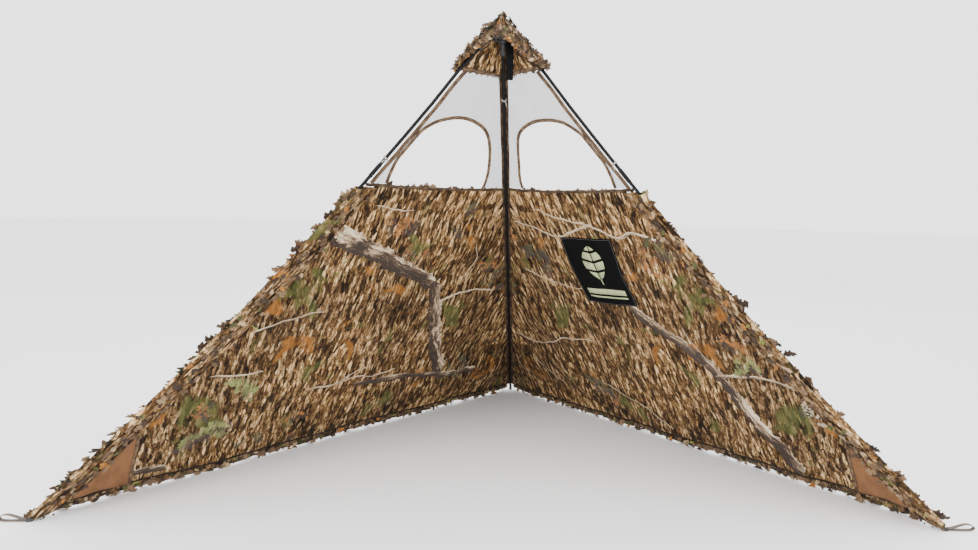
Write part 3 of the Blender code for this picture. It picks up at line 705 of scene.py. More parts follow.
def rounded(half_width, half_height, steps=3):
    """The outline of a flat tape with rounded edges."""
    points = []
    for start, sign in ((-90, 1), (90, -1)):
        for i in range(steps + 1):
            angle = math.radians(start + 180 * i / steps)
            points.append(
                (sign * (half_width - half_height) + half_height * math.cos(angle),
                 half_height * math.sin(angle))
            )
    return points


# ---------------------------------------------------------------- panels of printed cloth

STEP = 0.009


def camo_half(side, half):
    """The printed cloth of half a panel."""
    panel, sign = PANELS[side], HALVES[half]
    inset = SLEEVE_INNER + 0.001 if sign > 0 else CAMO_TO_VERTEX
    rows = int((CAMO_BOTTOM - CAMO_TOP) / STEP)
    columns = int(0.62 / STEP)
    t, s = shares(rows, columns)
    y0 = CAMO_TOP + t * (CAMO_BOTTOM - CAMO_TOP)
    reach = panel.edge(sign, y0, inset)
    if sign > 0:
        reach = np.minimum(reach, GUSSET_SEAM - 0.0004)
    x = sign * CREASE_GAP + s * (reach - sign * CREASE_GAP)
    y = y0 + (1 - t) ** 2 * (camo_top(x) - CAMO_TOP)
    n = CAMO_LIFT + relief(side, x, y)
    flip = (side == "left") == (sign > 0)
    obj, local = grid_cloth(f"camo_cloth_{side}_{half}", side, x, y, n, flip, CAMO)
    thicken(obj, 0.0007)
    finish_piece(obj, f"cloth_{side}_{half}", [f"camo_panel_{side}_{half}"])


def hem(side, half, edge):
    """The rolled and stitched hem along the top or the bottom of the printed cloth; the bottom one is near
    black, partly hem tape and partly painted shadow under the cloth's edge.
    """
    panel, sign = PANELS[side], HALVES[half]
    at_top = edge == "top"
    outer = SLEEVE_INNER * 0.3 if at_top else SLEEVE_INNER + 0.002
    count = 40 if at_top else 90
    inset = outer if sign > 0 else CAMO_TO_VERTEX
    end = float(panel.edge(sign, CAMO_TOP if at_top else CAMO_BOTTOM, inset))
    x = np.linspace(sign * CREASE_GAP, end, count)
    wave = 0.0009 * np.sin(x * 61.0 + (0.4 if side == "left" else 2.1)) + 0.0006 * np.sin(x * 143.0)
    y = (camo_top(x) + 0.0022 if at_top else CAMO_BOTTOM + 0.0010) + wave
    n = BINDING_LIFT + (0.6 * relief(side, x, y + 0.01) if at_top else relief(side, x, y))
    path = panel.place(np.stack([x, y, n], axis=-1))
    profile = rounded(0.0052, 0.0019, 5) if at_top else rounded(0.0036, 0.0014)
    # The bottom hem uses the near-black tape, which is partly hem and partly painted shadow.
    look = HEM if at_top else HEM_AND_PAINTED_SHADOW
    obj = sweep_ribbon(f"{edge}_hem_{side}_{half}", path, panel.down, panel.out, profile, look)
    finish_piece(obj, f"cloth_{side}_{half}")


def window_arch(side, x):
    """Height of a window's edge above a point on its sill."""
    wide = np.where(x > 0, WINDOW_TOWARDS_POLE, WINDOW_TOWARDS_VERTEX[side])
    share = np.minimum(1.0, np.abs(x) / wide)
    return WINDOW_SILL - (WINDOW_SILL - WINDOW_CROWN) * (1 - share**2.2) ** (1 / 2.2)


def arch_points(side, sign, count):
    """The arch of half a window, from its foot to the crease."""
    panel = PANELS[side]
    wide = WINDOW_TOWARDS_POLE if sign > 0 else WINDOW_TOWARDS_VERTEX[side]
    angle = np.linspace(0.0, math.pi / 2, count)
    share = np.cos(angle)
    share[0], share[-1] = 1.0, 0.0
    x = sign * wide * share
    y = window_arch(side, x)
    if sign > 0:
        clear = panel.side_x(y, EDGE_TO_POLE + EDGE_BINDING + WINDOW_BINDING + 0.0015)
        x = np.minimum(x, clear)
    else:
        clear = panel.centre_x(y, TAPE_WIDTH + WINDOW_BINDING + 0.012)
        soft = 0.016
        x = soft * np.logaddexp(x / soft, clear / soft)
        x[0] = max(x[0], clear[0])
    x[-1] = sign * CREASE_GAP
    return np.stack([x, y], axis=-1)


def net_relief(side, x, y):
    """Slack in the netting: soft folds that run down from the hood."""
    phase = 0.3 if side == "left" else 1.9
    folds = np.sin(x * 52.0 + y * 7.0 + phase) * 0.0016 + np.sin(x * 23.0 - y * 15.0) * 0.0022
    fade = np.clip((y - NET_TOP) / 0.08, 0.0, 1.0) * np.clip((CAMO_TOP - y) / 0.08, 0.0, 1.0)
    panel = PANELS[side]
    from_edges = np.minimum(panel.side_x(y, 0.034) - x, x - panel.centre_x(y, 0.012))
    return folds * fade * np.clip(from_edges / 0.04, 0.0, 1.0)


def net_half(side, half):
    """Half of a panel's netting, cut away for the window."""
    panel, sign = PANELS[side], HALVES[half]
    inset = EDGE_TO_POLE if sign > 0 else NET_TO_VERTEX
    rows, columns, top_rows = 56, 16, 12
    arch = arch_points(side, sign, rows)
    arch[0, 1] = CAMO_TOP
    share = np.linspace(1.0, 0.0, rows - top_rows) ** 1.2
    y = NET_TOP + (CAMO_TOP - NET_TOP) * share
    rim = np.stack([panel.edge(sign, y, inset), y], axis=-1)
    fall = np.linspace(1.0, 0.0, top_rows + 1)[1:]
    top_x = sign * CREASE_GAP + (rim[-1, 0] - sign * CREASE_GAP) * fall
    rim = np.concatenate([rim, np.stack([top_x, np.full(top_rows, NET_TOP)], axis=-1)])
    s = np.linspace(0.0, 1.0, columns)[None, :, None]
    flat = (arch[:, None, :] * (1 - s) + rim[:, None, :] * s).reshape(-1, 2)
    n = NET_LIFT + net_relief(side, flat[:, 0], flat[:, 1])
    local = np.column_stack([flat, n])
    faces = grid_faces(rows, columns, (side == "left") == (sign > 0))
    obj = build(f"netting_{side}_{half}", panel.place(local), faces, [NET], flat)
    finish_piece(obj, f"cloth_{side}_{half}", [f"window_mesh_{side}_{half}"])


def window_binding(side, half):
    """Edging tape around half of the window."""
    panel, sign = PANELS[side], HALVES[half]
    points = arch_points(side, sign, 44)
    tangent = tangents(points)
    normal = np.stack([-tangent[:, 1], tangent[:, 0]], axis=-1) * sign
    normal[-1] = (0.0, -1.0)
    middle = points + normal * WINDOW_BINDING / 2
    middle[0, 1] = CAMO_TOP - 0.001
    n = BINDING_LIFT + net_relief(side, middle[:, 0], middle[:, 1])
    path = panel.place(np.column_stack([middle, n]))
    across = normal[:, :1] * panel.across + normal[:, 1:] * panel.down
    profile = rounded(WINDOW_BINDING / 2, 0.0013)
    obj = sweep_ribbon(f"window_edge_{side}_{half}", path, across, panel.out, profile, BINDING)
    finish_piece(obj, f"cloth_{side}_{half}", [f"window_binding_{side}_{half}"])


def edge_binding(side):
    """Edging tape on the netting beside a side pole."""
    panel = PANELS[side]
    y = np.linspace(NET_TOP, CAMO_TOP, 40)
    x = panel.side_x(y, EDGE_TO_POLE + EDGE_BINDING / 2)
    wave = 0.0006 * np.sin(y * 70.0)
    path = panel.place(np.column_stack([x + wave, y, np.full_like(y, EDGE_LIFT)]))
    across = np.cross(tangents(path), panel.out)
    profile = rounded(EDGE_BINDING / 2, 0.0014)
    obj = sweep_ribbon(f"edge_tape_{side}", path, across, panel.out, profile, BINDING)
    finish_piece(obj, f"cloth_{side}_outer", [f"edge_binding_{side}"])


def vertex_tape():
    """The folded tape over the seam behind the centre pole."""
    left, right = PANELS["left"], PANELS["right"]
    direction = unit(FEET["centre"] - APEX)
    half_turn = math.acos(float(left.out @ right.out)) / 2
    ridge = unit(left.out + right.out) / math.cos(half_turn)
    wings = [unit(p.across - direction * (p.across @ direction)) for p in (left, right)]
    near, far = 0.0060, 0.0074
    wide = TAPE_WIDTH * 0.42
    section = []
    for share in (1.0, 0.66, 0.33):
        section.append(wings[0] * wide * share + left.out * near)
    section.append(ridge * near)
    for share in (0.33, 0.66, 1.0):
        section.append(wings[1] * wide * share + right.out * near)
    back = [p + (left.out if i < 3 else right.out) * (far - near) for i, p in enumerate(section)]
    back[3] = ridge * far
    ring = np.array(section + back[::-1])
    widths = np.array([-1.0, -0.66, -0.33, 0.0, 0.33, 0.66, 1.0]) * wide
    widths = np.concatenate([widths, widths[::-1]])
    steps = 80
    along = np.linspace(NET_TOP / left.cosine, CAMO_BOTTOM / left.cosine, steps)
    sway = 0.0010 * np.sin(along * 31.0) + 0.0006 * np.sin(along * 77.0)
    verts, uvs = [], []
    for distance, shift in zip(along, sway):
        for offset, width in zip(ring, widths):
            verts.append(APEX + direction * distance + offset + (wings[1] - wings[0]) * shift * 0.3)
            uvs.append((distance, width * 0.4))
    faces = ring_faces(steps, len(ring))
    obj = build("vertex_seam_tape", verts, faces, [SEAM_TAPE], uvs, smooth=False)
    finish_piece(obj, "leg_centre", ["vertex_tape"])


# ---------------------------------------------------------------- loose leaves

LEAF_TINTS = (
    ((0.185, 0.112, 0.058), 6.0),
    ((0.360, 0.252, 0.140), 1.8),
    ((0.105, 0.060, 0.030), 7.0),
    ((0.042, 0.024, 0.013), 6.0),
    ((0.062, 0.066, 0.018), 0.9),
    ((0.190, 0.190, 0.040), 0.4),
    ((0.300, 0.115, 0.018), 0.7),
)


def leaf_shape(lobes, phase, slim, segments=10):
    """Points (along, across) of a lobed leaf of unit length: left edge, midrib and right edge."""
    t = np.linspace(0.0, 1.0, segments + 1)
    envelope = np.sin(math.pi * np.clip(t, 0.02, 0.995) ** 0.85) ** 0.75
    rows = []
    for side, offset in ((-1.0, 0.0), (1.0, 0.9)):
        bay = 1.0 + 0.42 * np.sin(2 * math.pi * lobes * t + phase + offset)
        half = np.maximum(0.5 * slim * envelope * bay, 0.03)
        rows.append((t + 0.07 * np.sin(math.pi * t), side * half))
    middle = (t, np.zeros_like(t))
    points = np.array([rows[0], middle, rows[1]]).transpose(2, 0, 1)
    faces = []
    for r in range(segments):
        for c in range(2):
            a = r * 3 + c
            faces.append((a, a + 1, a + 4, a + 3))
    return points.reshape(-1, 2), faces


LEAF_SHAPES = [
    leaf_shape(lobes, phase, slim)
    for lobes, phase, slim in ((2.6, 0.4, 0.72), (3.4, 1.6, 0.62), (2.2, 3.0, 0.85), (4.2, 0.9, 0.55))
]


def pick_tint(rng):
    """One of the leaf colours, each as often as it is on the cloth."""
    mark = rng.random() * sum(weight for _, weight in LEAF_TINTS)
    for tint, weight in LEAF_TINTS:
        mark -= weight
        if mark <= 0:
            break
    shade = rng.uniform(0.75, 1.2)
    return np.array(tint) * shade


class LeafHeap:
    """Many loose cloth leaves that move together as one piece."""

    def __init__(self, seed):
        self.rng = random.Random(seed)
        self.verts, self.faces, self.tints, self.uvs, self.marks = [], [], [], [], []
        self.count = 0

    def add(self, base, direction, normal, length, lift=0.2, curl=0.25, lowest=None):
        """One leaf, sewn on at its base."""
        rng = self.rng
        shape, faces = LEAF_SHAPES[rng.randrange(len(LEAF_SHAPES))]
        direction, normal = unit(direction), unit(normal)
        side = unit(np.cross(normal, direction))
        normal = np.cross(direction, side)
        along, across = shape[:, 0], shape[:, 1]
        fold = rng.uniform(-0.35, 0.45)
        bend = rng.uniform(-0.25, 0.25)
        twist = rng.uniform(-0.5, 0.5)
        height = lift * along + curl * rng.uniform(-0.6, 1.3) * along**2
        height = height + fold * np.abs(across) + twist * along * across
        if lowest is not None:
            height = np.maximum(height, lowest)
        sideways = across + bend * along**2
        points = (
            np.asarray(base)
            + length * along[:, None] * direction
            + length * sideways[:, None] * side
            + length * height[:, None] * normal
        )
        tint = pick_tint(rng)
        fade = 1.0 + rng.uniform(-0.3, 0.3) * (along - 0.5) + 0.25 * np.abs(across)
        self.verts.append(points)
        self.faces += [tuple(i + self.count for i in face) for face in faces]
        self.tints.append(tint[None, :] * fade[:, None])
        shift = (rng.uniform(0.0, 3.0), rng.uniform(0.0, 3.0))
        self.uvs.append(shape * length + shift)
        self.marks.append(shape)
        self.count += len(shape)

    def build(self, name, body):
        """All the leaves as one piece, none of it below the floor."""
        verts = np.concatenate(self.verts)
        verts[:, 2] = np.maximum(verts[:, 2], 0.0008)
        obj = build(
            name, verts, self.faces, [LEAF], np.concatenate(self.uvs),
            np.concatenate(self.tints), np.concatenate(self.marks),
        )
        return finish_piece(obj, body)


def shell_half(side, half):
    """The outer layer behind half a print: printed backing with loose leaves sewn on it."""
    panel, sign = PANELS[side], HALVES[half]
    inset = SLEEVE_INNER - 0.004 if sign > 0 else SHELL_TO_VERTEX
    rows, columns = ((84, 48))
    t, s = shares(rows, columns)
    y0 = CAMO_TOP + t * (SHELL_BOTTOM - CAMO_TOP)
    x = sign * CREASE_GAP + s * (panel.edge(sign, y0, inset) - sign * CREASE_GAP)
    y = y0 + (1 - t) ** 2 * (camo_top(x) - CAMO_TOP)
    ragged = 0.003 * np.sin(x * 57.0) + 0.002 * np.sin(x * 131.0 + 1.0)
    y = y + t**12 * ragged
    n = SHELL_LIFT + relief(side, x, y) + 0.0012 * np.sin(x * 83.0) * np.sin(y * 71.0)
    flip = (side == "left") == (sign > 0)
    obj, local = grid_cloth(f"leaf_backing_{side}_{half}", side, x, y, n, flip, BACKING)
    thicken(obj, 0.0008, 1.0 if flip else -1.0)

    heap = LeafHeap(half_seed(side, half))
    rng = heap.rng
    pitch = 0.037
    y = CAMO_TOP + 0.012
    while y < SHELL_BOTTOM:
        reach = float(panel.edge(sign, y, inset))
        count = max(1, int(abs(reach) / pitch))
        for i in range(count):
            x = reach * (i + rng.uniform(0.15, 0.85)) / count
            down = y + rng.uniform(-0.35, 0.35) * pitch
            down = max(down, float(camo_top(x)) + 0.004)
            height = LEAF_LIFT + float(relief(side, x, down))
            angle = max(-1.2, min(1.2, rng.gauss(0.0, 0.75)))
            direction = panel.down * math.cos(angle) + panel.across * math.sin(angle)
            length = rng.uniform(0.045, 0.078)
            if down > SHELL_BOTTOM - 0.05:
                length = rng.uniform(0.028, 0.045)
            if sign < 0 and abs(reach) - abs(x) < 0.045:
                # Beside the vertex the leaves hang straight, so that the two panels can close.
                length = min(length, 0.050)
                direction = panel.down - panel.across * 0.05 * sign
                x = sign * min(abs(x), abs(reach) - 0.012)
            place = panel.place([x, down, height])[0]
            heap.add(place, direction, panel.out, length, rng.uniform(0.05, 0.32), 0.22, 0.0)
        y += pitch * 0.86
    # A fringe of small leaves hangs from the hem and shows on both faces.
    step = 0.0062
    reach = float(panel.edge(sign, SHELL_BOTTOM, inset))
    for i in range(int(abs(reach) / step)):
        x = sign * step * (i + rng.uniform(0.1, 0.9))
        down = CAMO_BOTTOM + rng.uniform(0.002, 0.030)
        front = rng.random() < 0.72
        out = -1.0 if front else 1.0
        height = (FRINGE_LIFT if front else LEAF_LIFT) + float(relief(side, x, down))
        angle = rng.gauss(0.0, 1.0)
        direction = panel.down * math.cos(angle) + panel.across * math.sin(angle)
        place = panel.place([x, down, height])[0]
        stray = rng.random() < (0.34 if math.sin(x * 41.0 + len(side)) > 0.8 else 0.05)
        length = rng.uniform(0.026, 0.040) if stray else rng.uniform(0.012, 0.024)
        heap.add(place, direction, panel.out * out, length, rng.uniform(0.05, 0.35), 0.3, 0.0)
    # Leaf tips that stand above the top hem.
    for _ in range(7 if sign > 0 else 9):
        x = float(panel.edge(sign, CAMO_TOP, 0.02)) * rng.random()
        place = panel.place([x, float(camo_top(x)) + 0.008, 0.0105])[0]
        angle = math.pi + rng.gauss(0.0, 0.9)
        direction = panel.down * math.cos(angle) + panel.across * math.sin(angle)
        heap.add(place, direction, panel.out, rng.uniform(0.010, 0.018), rng.uniform(0.0, 0.3), 0.2, 0.0)
    leaves = heap.build(f"leaves_{side}_{half}", f"cloth_{side}_{half}")
    finish_piece(obj, f"cloth_{side}_{half}", [f"leaf_shell_{side}_{half}"])


def half_seed(side, half):
    """A fixed seed for each half of each panel."""
    return 100 + 10 * SIDES.index(side) + list(HALVES).index(half)


def leg_axes(side):
    """Directions down a side leg, towards the other panel edge, and outward."""
    panel = PANELS[side]
    direction = unit(FEET[side] - APEX)
    inward = -panel.across
    inward = unit(inward - direction * (inward @ direction))
    return direction, inward, panel.out


def leg_line(side, along):
    """Points of a bowed side pole at those distances from the apex."""
    direction, inward, _ = leg_axes(side)
    along = np.asarray(along, float)
    return APEX + along[..., None] * direction + bow(along)[..., None] * inward


def sleeve(side):
    """The leafy sleeve that a side pole runs through."""
    panel = PANELS[side]
    direction, inward, out = leg_axes(side)
    top = CAMO_TOP / panel.cosine - 0.004
    steps = 130
    angles = np.linspace(0.0, 2 * math.pi, 20, endpoint=False)
    verts, uvs = [], []
    for share in np.linspace(0.0, 1.0, steps):
        for angle in angles:
            across = math.copysign(abs(math.cos(angle)) ** 0.7, math.cos(angle))
            rise = math.copysign(abs(math.sin(angle)) ** 0.8, math.sin(angle))
            width = across * (SLEEVE_INNER if across > 0 else SLEEVE_OUTER)
            first = (CAMO_TOP + 0.002 - (width + 0.014) * panel.sine) / panel.cosine
            distance = first + share * (SLEEVE_END - first)
            above_floor = APEX_HEIGHT * (1.0 - distance / SIDE_LEG)
            width = min(width, max(0.007, (above_floor - 0.005) / SLEEVE_FALL))
            pucker = 1.0 + 0.10 * math.sin(distance * 95.0) + 0.08 * math.sin(distance * 41.0 + 1.0)
            flat = 1.0 - 0.55 * max(0.0, across)
            centre = leg_line(side, np.array(distance))
            verts.append(centre + inward * width + out * (0.0007 + rise * 0.0084 * pucker * flat))
            uvs.append((width + 1.3 * SIDES.index(side), distance))
    faces = ring_faces(steps, len(angles), capped=False)
    if side == "left":
        faces = [face[::-1] for face in faces]
    obj = build(f"sleeve_{side}", verts, faces, [CAMO], uvs)
    thicken(obj, 0.0006, -1.0)
    finish_piece(obj, f"leg_{side}", [f"pole_sleeve_{side}"])

    heap = LeafHeap(300 + SIDES.index(side))
    rng = heap.rng
    distance = top + 0.004
    step = 0.0062
    while distance < SLEEVE_END:
        near_end = distance > SLEEVE_END - 0.10
        for kind in ("front", "rim", "back"):
            skip = {"front": 0.10, "rim": 0.45, "back": 0.35}[kind]
            if rng.random() < skip:
                continue
            base = leg_line(side, np.array(distance + rng.uniform(-0.5, 0.5) * step))
            above_floor = APEX_HEIGHT * (1.0 - distance / SIDE_LEG)
            room = max(0.004, (above_floor - 0.008) / SLEEVE_FALL)
            spread = rng.gauss(0.0, 0.8)
            if kind == "rim":
                base = base - inward * (SLEEVE_OUTER - 0.007) + out * rng.uniform(-0.004, 0.006)
                lean = direction * rng.uniform(-0.3, 1.2) - inward * rng.uniform(0.4, 1.2)
                normal = out * rng.choice((-1.0, 1.0)) + inward * rng.uniform(-0.4, 0.4)
                length = rng.uniform(0.007, 0.016) if rng.random() < 0.94 else rng.uniform(0.018, 0.026)
            else:
                face = -1.0 if kind == "front" else 1.0
                base = base + inward * min(rng.uniform(-0.006, 0.044), room) + out * (0.0005 + face * 0.0088)
                lean = direction * math.cos(spread) + inward * math.sin(spread)
                normal = out * face
                length = rng.uniform(0.012, 0.024) if kind == "front" else rng.uniform(0.026, 0.046)
            if near_end:
                length *= 0.75
            heap.add(base, lean, normal, length, rng.uniform(0.03, 0.22), 0.2)
        distance += step
    heap.build(f"sleeve_leaves_{side}", f"leg_{side}")


def gusset(side):
    """The plain triangle at a panel's low outer corner."""
    panel = PANELS[side]
    rows, columns = 22, 14
    low, high = 1.0, CAMO_BOTTOM
    for _ in range(40):
        middle = (low + high) / 2
        if float(panel.side_x(middle, SLEEVE_INNER + 0.001)) < GUSSET_SEAM:
            low = middle
        else:
            high = middle
    t, s = shares(rows, columns)
    y = low + 0.002 + t * (CAMO_BOTTOM - low - 0.002)
    reach = panel.side_x(y, SLEEVE_INNER - 0.004)
    x = GUSSET_SEAM + 0.0004 + s * np.maximum(reach - GUSSET_SEAM, 0.0005)
    n = 0.0080 + relief(side, x, y) * 0.6 + 0.0015 * np.sin(x * 60.0 + y * 35.0) * t**0.5
    obj, local = grid_cloth(f"gusset_cloth_{side}", side, x, y, n, side == "left", PLAIN_BROWN)
    thicken(obj, 0.0007)
    finish_piece(obj, f"cloth_{side}_outer", [f"gusset_{side}"])
    y = np.linspace(low, CAMO_BOTTOM, 24)
    x = np.full_like(y, GUSSET_SEAM - 0.003)
    n = 0.0070 + relief(side, x, y)
    path = panel.place(np.column_stack([x, y, n]))
    profile = rounded(0.0050, 0.0010)
    seam = sweep_ribbon(f"gusset_seam_{side}", path, panel.across, panel.out, profile, BINDING)
    finish_piece(seam, f"cloth_{side}_outer")


# ---------------------------------------------------------------- hood

CAP_HEM_AT = 0.176
CREST = np.array([APEX[0], APEX[1], 1.3925])
BROW = np.array([APEX[0], APEX[1] - 0.039, 1.3870])
NOTCH = np.array([APEX[0] - 0.004, APEX[1] - 0.048, 1.3400])


def cap_corner(leg, lift, forward, along=CAP_HEM_AT):
    """A corner of the hood, beside a leg at that distance from the apex."""
    direction = unit(FEET[leg] - APEX)
    raised = np.array([0.0, 0.0, 1.0])
    raised = unit(raised - direction * direction[2])
    return APEX + direction * along + raised * lift + np.array([0.0, -forward, 0.0])


def hood_keys():
    """The hem's corners in order round the hood, each with the point its slope leaves the crest by."""
    ridge = unit(PANELS["left"].out + PANELS["right"].out)
    heel = APEX + unit(FEET["centre"] - APEX) * CAP_HEM_AT + ridge * 0.0215
    upper = {
        "left": cap_corner("left", 0.0125, 0.008),
        "right": cap_corner("right", 0.0125, 0.008, CAP_HEM_AT - 0.014),
    }
    lower = {
        "left": cap_corner("left", 0.008, 0.019, CAP_HEM_AT - 0.058),
        "right": cap_corner("right", 0.000, 0.021, CAP_HEM_AT - 0.030),
    }
    brow = {leg: BROW * 0.72 + upper[leg] * 0.28 for leg in SIDES}
    return (
        (NOTCH, BROW),
        (lower["right"], brow["right"]),
        (upper["right"], CREST * 0.66 + upper["right"] * 0.34),
        (heel, CREST * 0.66 + heel * 0.34),
        (upper["left"], CREST * 0.66 + upper["left"] * 0.34),
        (lower["left"], brow["left"]),
    )


def hood_grid(rings, per_side):
    """Points of the hood from the crest to the hem, once round."""
    keys = hood_keys()
    stations = []
    for i, (corner, shoulder) in enumerate(keys):
        next_corner, next_shoulder = keys[(i + 1) % len(keys)]
        sag = (0.000, 0.004, -0.006, -0.006, 0.004, 0.000)[i]
        for j in range(per_side):
            f = j / per_side
            hump = math.sin(math.pi * f)
            low = corner * (1 - f) + next_corner * f
            high = shoulder * (1 - f) + next_shoulder * f
            away = unit((low + high) / 2 - (APEX + np.array([0.0, 0.02, -0.05])))
            stations.append((high + away * sag * hump, low + away * sag * 1.4 * hump))
    grid = []
    for r in range(rings):
        share = r / (rings - 1)
        ring = []
        for a, (high, low) in enumerate(stations):
            if share < 0.34:
                f = share / 0.34
                point = CREST * (1 - f) + high * f
                point[2] += 0.0040 * math.sin(math.pi * f)
            else:
                f = (share - 0.34) / 0.66
                point = high * (1 - f) + low * f
            angle = 2 * math.pi * a / len(stations)
            crumple = 0.0016 * math.sin(5 * angle + 9.0 * share)
            crumple += 0.0010 * math.sin(11 * angle - 14.0 * share)
            away = unit(point - (APEX + np.array([0.0, 0.02, -0.06])))
            ring.append(point + away * crumple * min(1.0, share * 3))
        grid.append(ring)
    return np.array(grid)


def hood():
    """The leafy hood over the hub, with its leaves and its bound rear hem."""
    rings, per_side = 14, 14
    grid = hood_grid(rings, per_side)
    count = grid.shape[1]
    faces = ring_faces(rings, count, capped=False)
    down = np.linalg.norm(grid - CREST, axis=2)
    around = np.arange(count) / count * 1.05
    uvs = np.stack(np.broadcast_arrays(around[None, :] + 2.0, down * 1.5), axis=-1).reshape(-1, 2)
    obj = build("hood_cloth", grid.reshape(-1, 3), [f[::-1] for f in faces], [CAMO], uvs)
    bm = bmesh.new()
    bm.from_mesh(obj.data)
    bmesh.ops.remove_doubles(bm, verts=bm.verts, dist=1e-5)
    bmesh.ops.recalc_face_normals(bm, faces=bm.faces)
    bm.to_mesh(obj.data)
    bm.free()
    thicken(obj, 0.0010, 0.0)
    finish_piece(obj, "hub", ["cap"])

    heap = LeafHeap(500)
    rng = heap.rng
    middle = APEX + np.array([0.0, 0.02, -0.06])
    for r in range(1, rings):
        share = r / (rings - 1)
        need = int((10) + share * 64)
        for _ in range(need):
            a = rng.randrange(count)
            base = grid[r, a] * 0.5 + grid[r, (a + 1) % count] * 0.5
            front = a < per_side or a >= 5 * per_side
            slope = unit(grid[r, a] - grid[r - 1, a])
            around_it = unit(grid[r, (a + 1) % count] - grid[r, a])
            normal = unit(np.cross(slope, around_it))
            if normal @ (base - middle) < 0:
                normal = -normal
            angle = rng.gauss(0.0, 0.8)
            direction = slope * math.cos(angle) + around_it * math.sin(angle)
            length = rng.uniform(0.010, 0.019) if front else rng.uniform(0.018, 0.030)
            if share > 0.85:
                length = min(length, 0.013)
            heap.add(base + normal * 0.0012, direction, normal, length, rng.uniform(0.0, 0.12), 0.12, 0.0)
    # Denser small leaves along the front edges and round the side corners.
    front_edge = np.concatenate([grid[-1, 5 * per_side:], grid[-1, : 2 * per_side]])
    for point in front_edge:
        for _ in range(4):
            angle = rng.uniform(0.0, 2 * math.pi)
            direction = np.array([math.cos(angle) * 0.8, -0.35, math.sin(angle) * 0.8 + 0.1])
            base = point + np.array([rng.uniform(-1, 1), rng.uniform(-1, 1), rng.uniform(-0.4, 1.2)]) * 0.006
            heap.add(base, direction, np.array([0.0, -1.0, 0.25]), rng.uniform(0.008, 0.015), 0.10, 0.2)
    for _ in range(5):
        angle = rng.uniform(0.0, 2 * math.pi)
        direction = np.array([math.cos(angle), math.sin(angle), -1.1])
        heap.add(CREST + np.array([0.0, 0.0, 0.001]), direction, np.array([0.0, 0.0, 1.0]),
                 rng.uniform(0.010, 0.015), 0.0, 0.1)
    leaves = heap.build("hood_leaves", "hub")

    behind = slice(2 * per_side, 4 * per_side + 1)
    rear = grid[-1, behind]
    slope = rear - grid[-2, behind]
    slope /= np.linalg.norm(slope, axis=1)[:, None]
    outward = np.cross(tangents(rear), slope)
    tape = sweep_ribbon("hood_hem_tape", rear, slope, outward, rounded(0.0062, 0.0016), BINDING)
    finish_piece(tape, "hub", ["cap_binding"])


# ---------------------------------------------------------------- small fittings


def smooth_path(points, count):
    """A Catmull-Rom curve through the points."""
    points = np.asarray(points, float)
    padded = np.vstack([2 * points[0] - points[1], points, 2 * points[-1] - points[-2]])
    out = []
    for value in np.linspace(0.0, len(points) - 1.0, count):
        i = min(int(value), len(points) - 2)
        f = value - i
        a, b, c, d = padded[i: i + 4]
        out.append(
            0.5 * (2 * b + (c - a) * f + (2 * a - 5 * b + 4 * c - d) * f**2 + (3 * b - a - 3 * c + d) * f**3)
        )
    return np.array(out)


def pull_strap():
    """The dark webbing tab that hangs from the hub."""
    x, y = APEX[0] + 0.0215, APEX[1] - 0.012
    path = smooth_path(
        [(x - 0.002, y, 1.3336), (x - 0.001, y + 0.0006, 1.312), (x, y - 0.0012, 1.285),
         (x + 0.0004, y - 0.0006, 1.258), (x, y, 1.2315), (x, y + 0.0030, 1.2310), (x, y + 0.0034, 1.246)],
        48,
    )
    across = np.array([1.0, 0.0, 0.0])
    outward = np.cross(across, tangents(path))
    obj = sweep_ribbon("pull_tab", path, across, outward, rounded(0.0098, 0.0009), WEBBING)
    finish_piece(obj, "hub", ["pull_strap"])


def stake_loop(side):
    """The folded webbing loop beyond a side foot."""
    sign = -1.0 if side == "left" else 1.0
    start = FEET[side] + np.array([sign * 0.004, 0.0, 0.0])
    route = [
        (0.000, 0.0062), (0.018, 0.0088), (0.036, 0.0150), (0.053, 0.0188), (0.068, 0.0168),
        (0.0775, 0.0095), (0.070, 0.0030), (0.052, 0.0016), (0.030, 0.0022), (0.000, 0.0036),
    ]
    path = smooth_path([start + np.array([sign * u, 0.0, z]) for u, z in route], 70)
    across = np.array([0.0, 1.0, 0.0])
    outward = np.cross(across, tangents(path))
    profile = rounded(0.0058, 0.0009)
    obj = sweep_ribbon(f"stake_webbing_{side}", path, across, outward, profile, LOOP_WEBBING)
    finish_piece(obj, f"leg_{side}", [f"stake_loop_{side}"])


def tube(path, radius, sides=10):
    """Rings of a round cord along a path, with its ends closed."""
    path = np.asarray(path, float)
    tangent = tangents(path)
    normal = unit(np.cross(tangent[0], [0.31, 0.52, 0.79]))
    verts, uvs = [], []
    run = 0.0
    for i, point in enumerate(path):
        normal = unit(normal - tangent[i] * (normal @ tangent[i]))
        side = np.cross(tangent[i], normal)
        if i:
            run += float(np.linalg.norm(point - path[i - 1]))
        for k in range(sides):
            angle = 2 * math.pi * k / sides
            verts.append(point + radius * (normal * math.cos(angle) + side * math.sin(angle)))
            uvs.append((run, radius * angle))
    return verts, ring_faces(len(path), sides), uvs


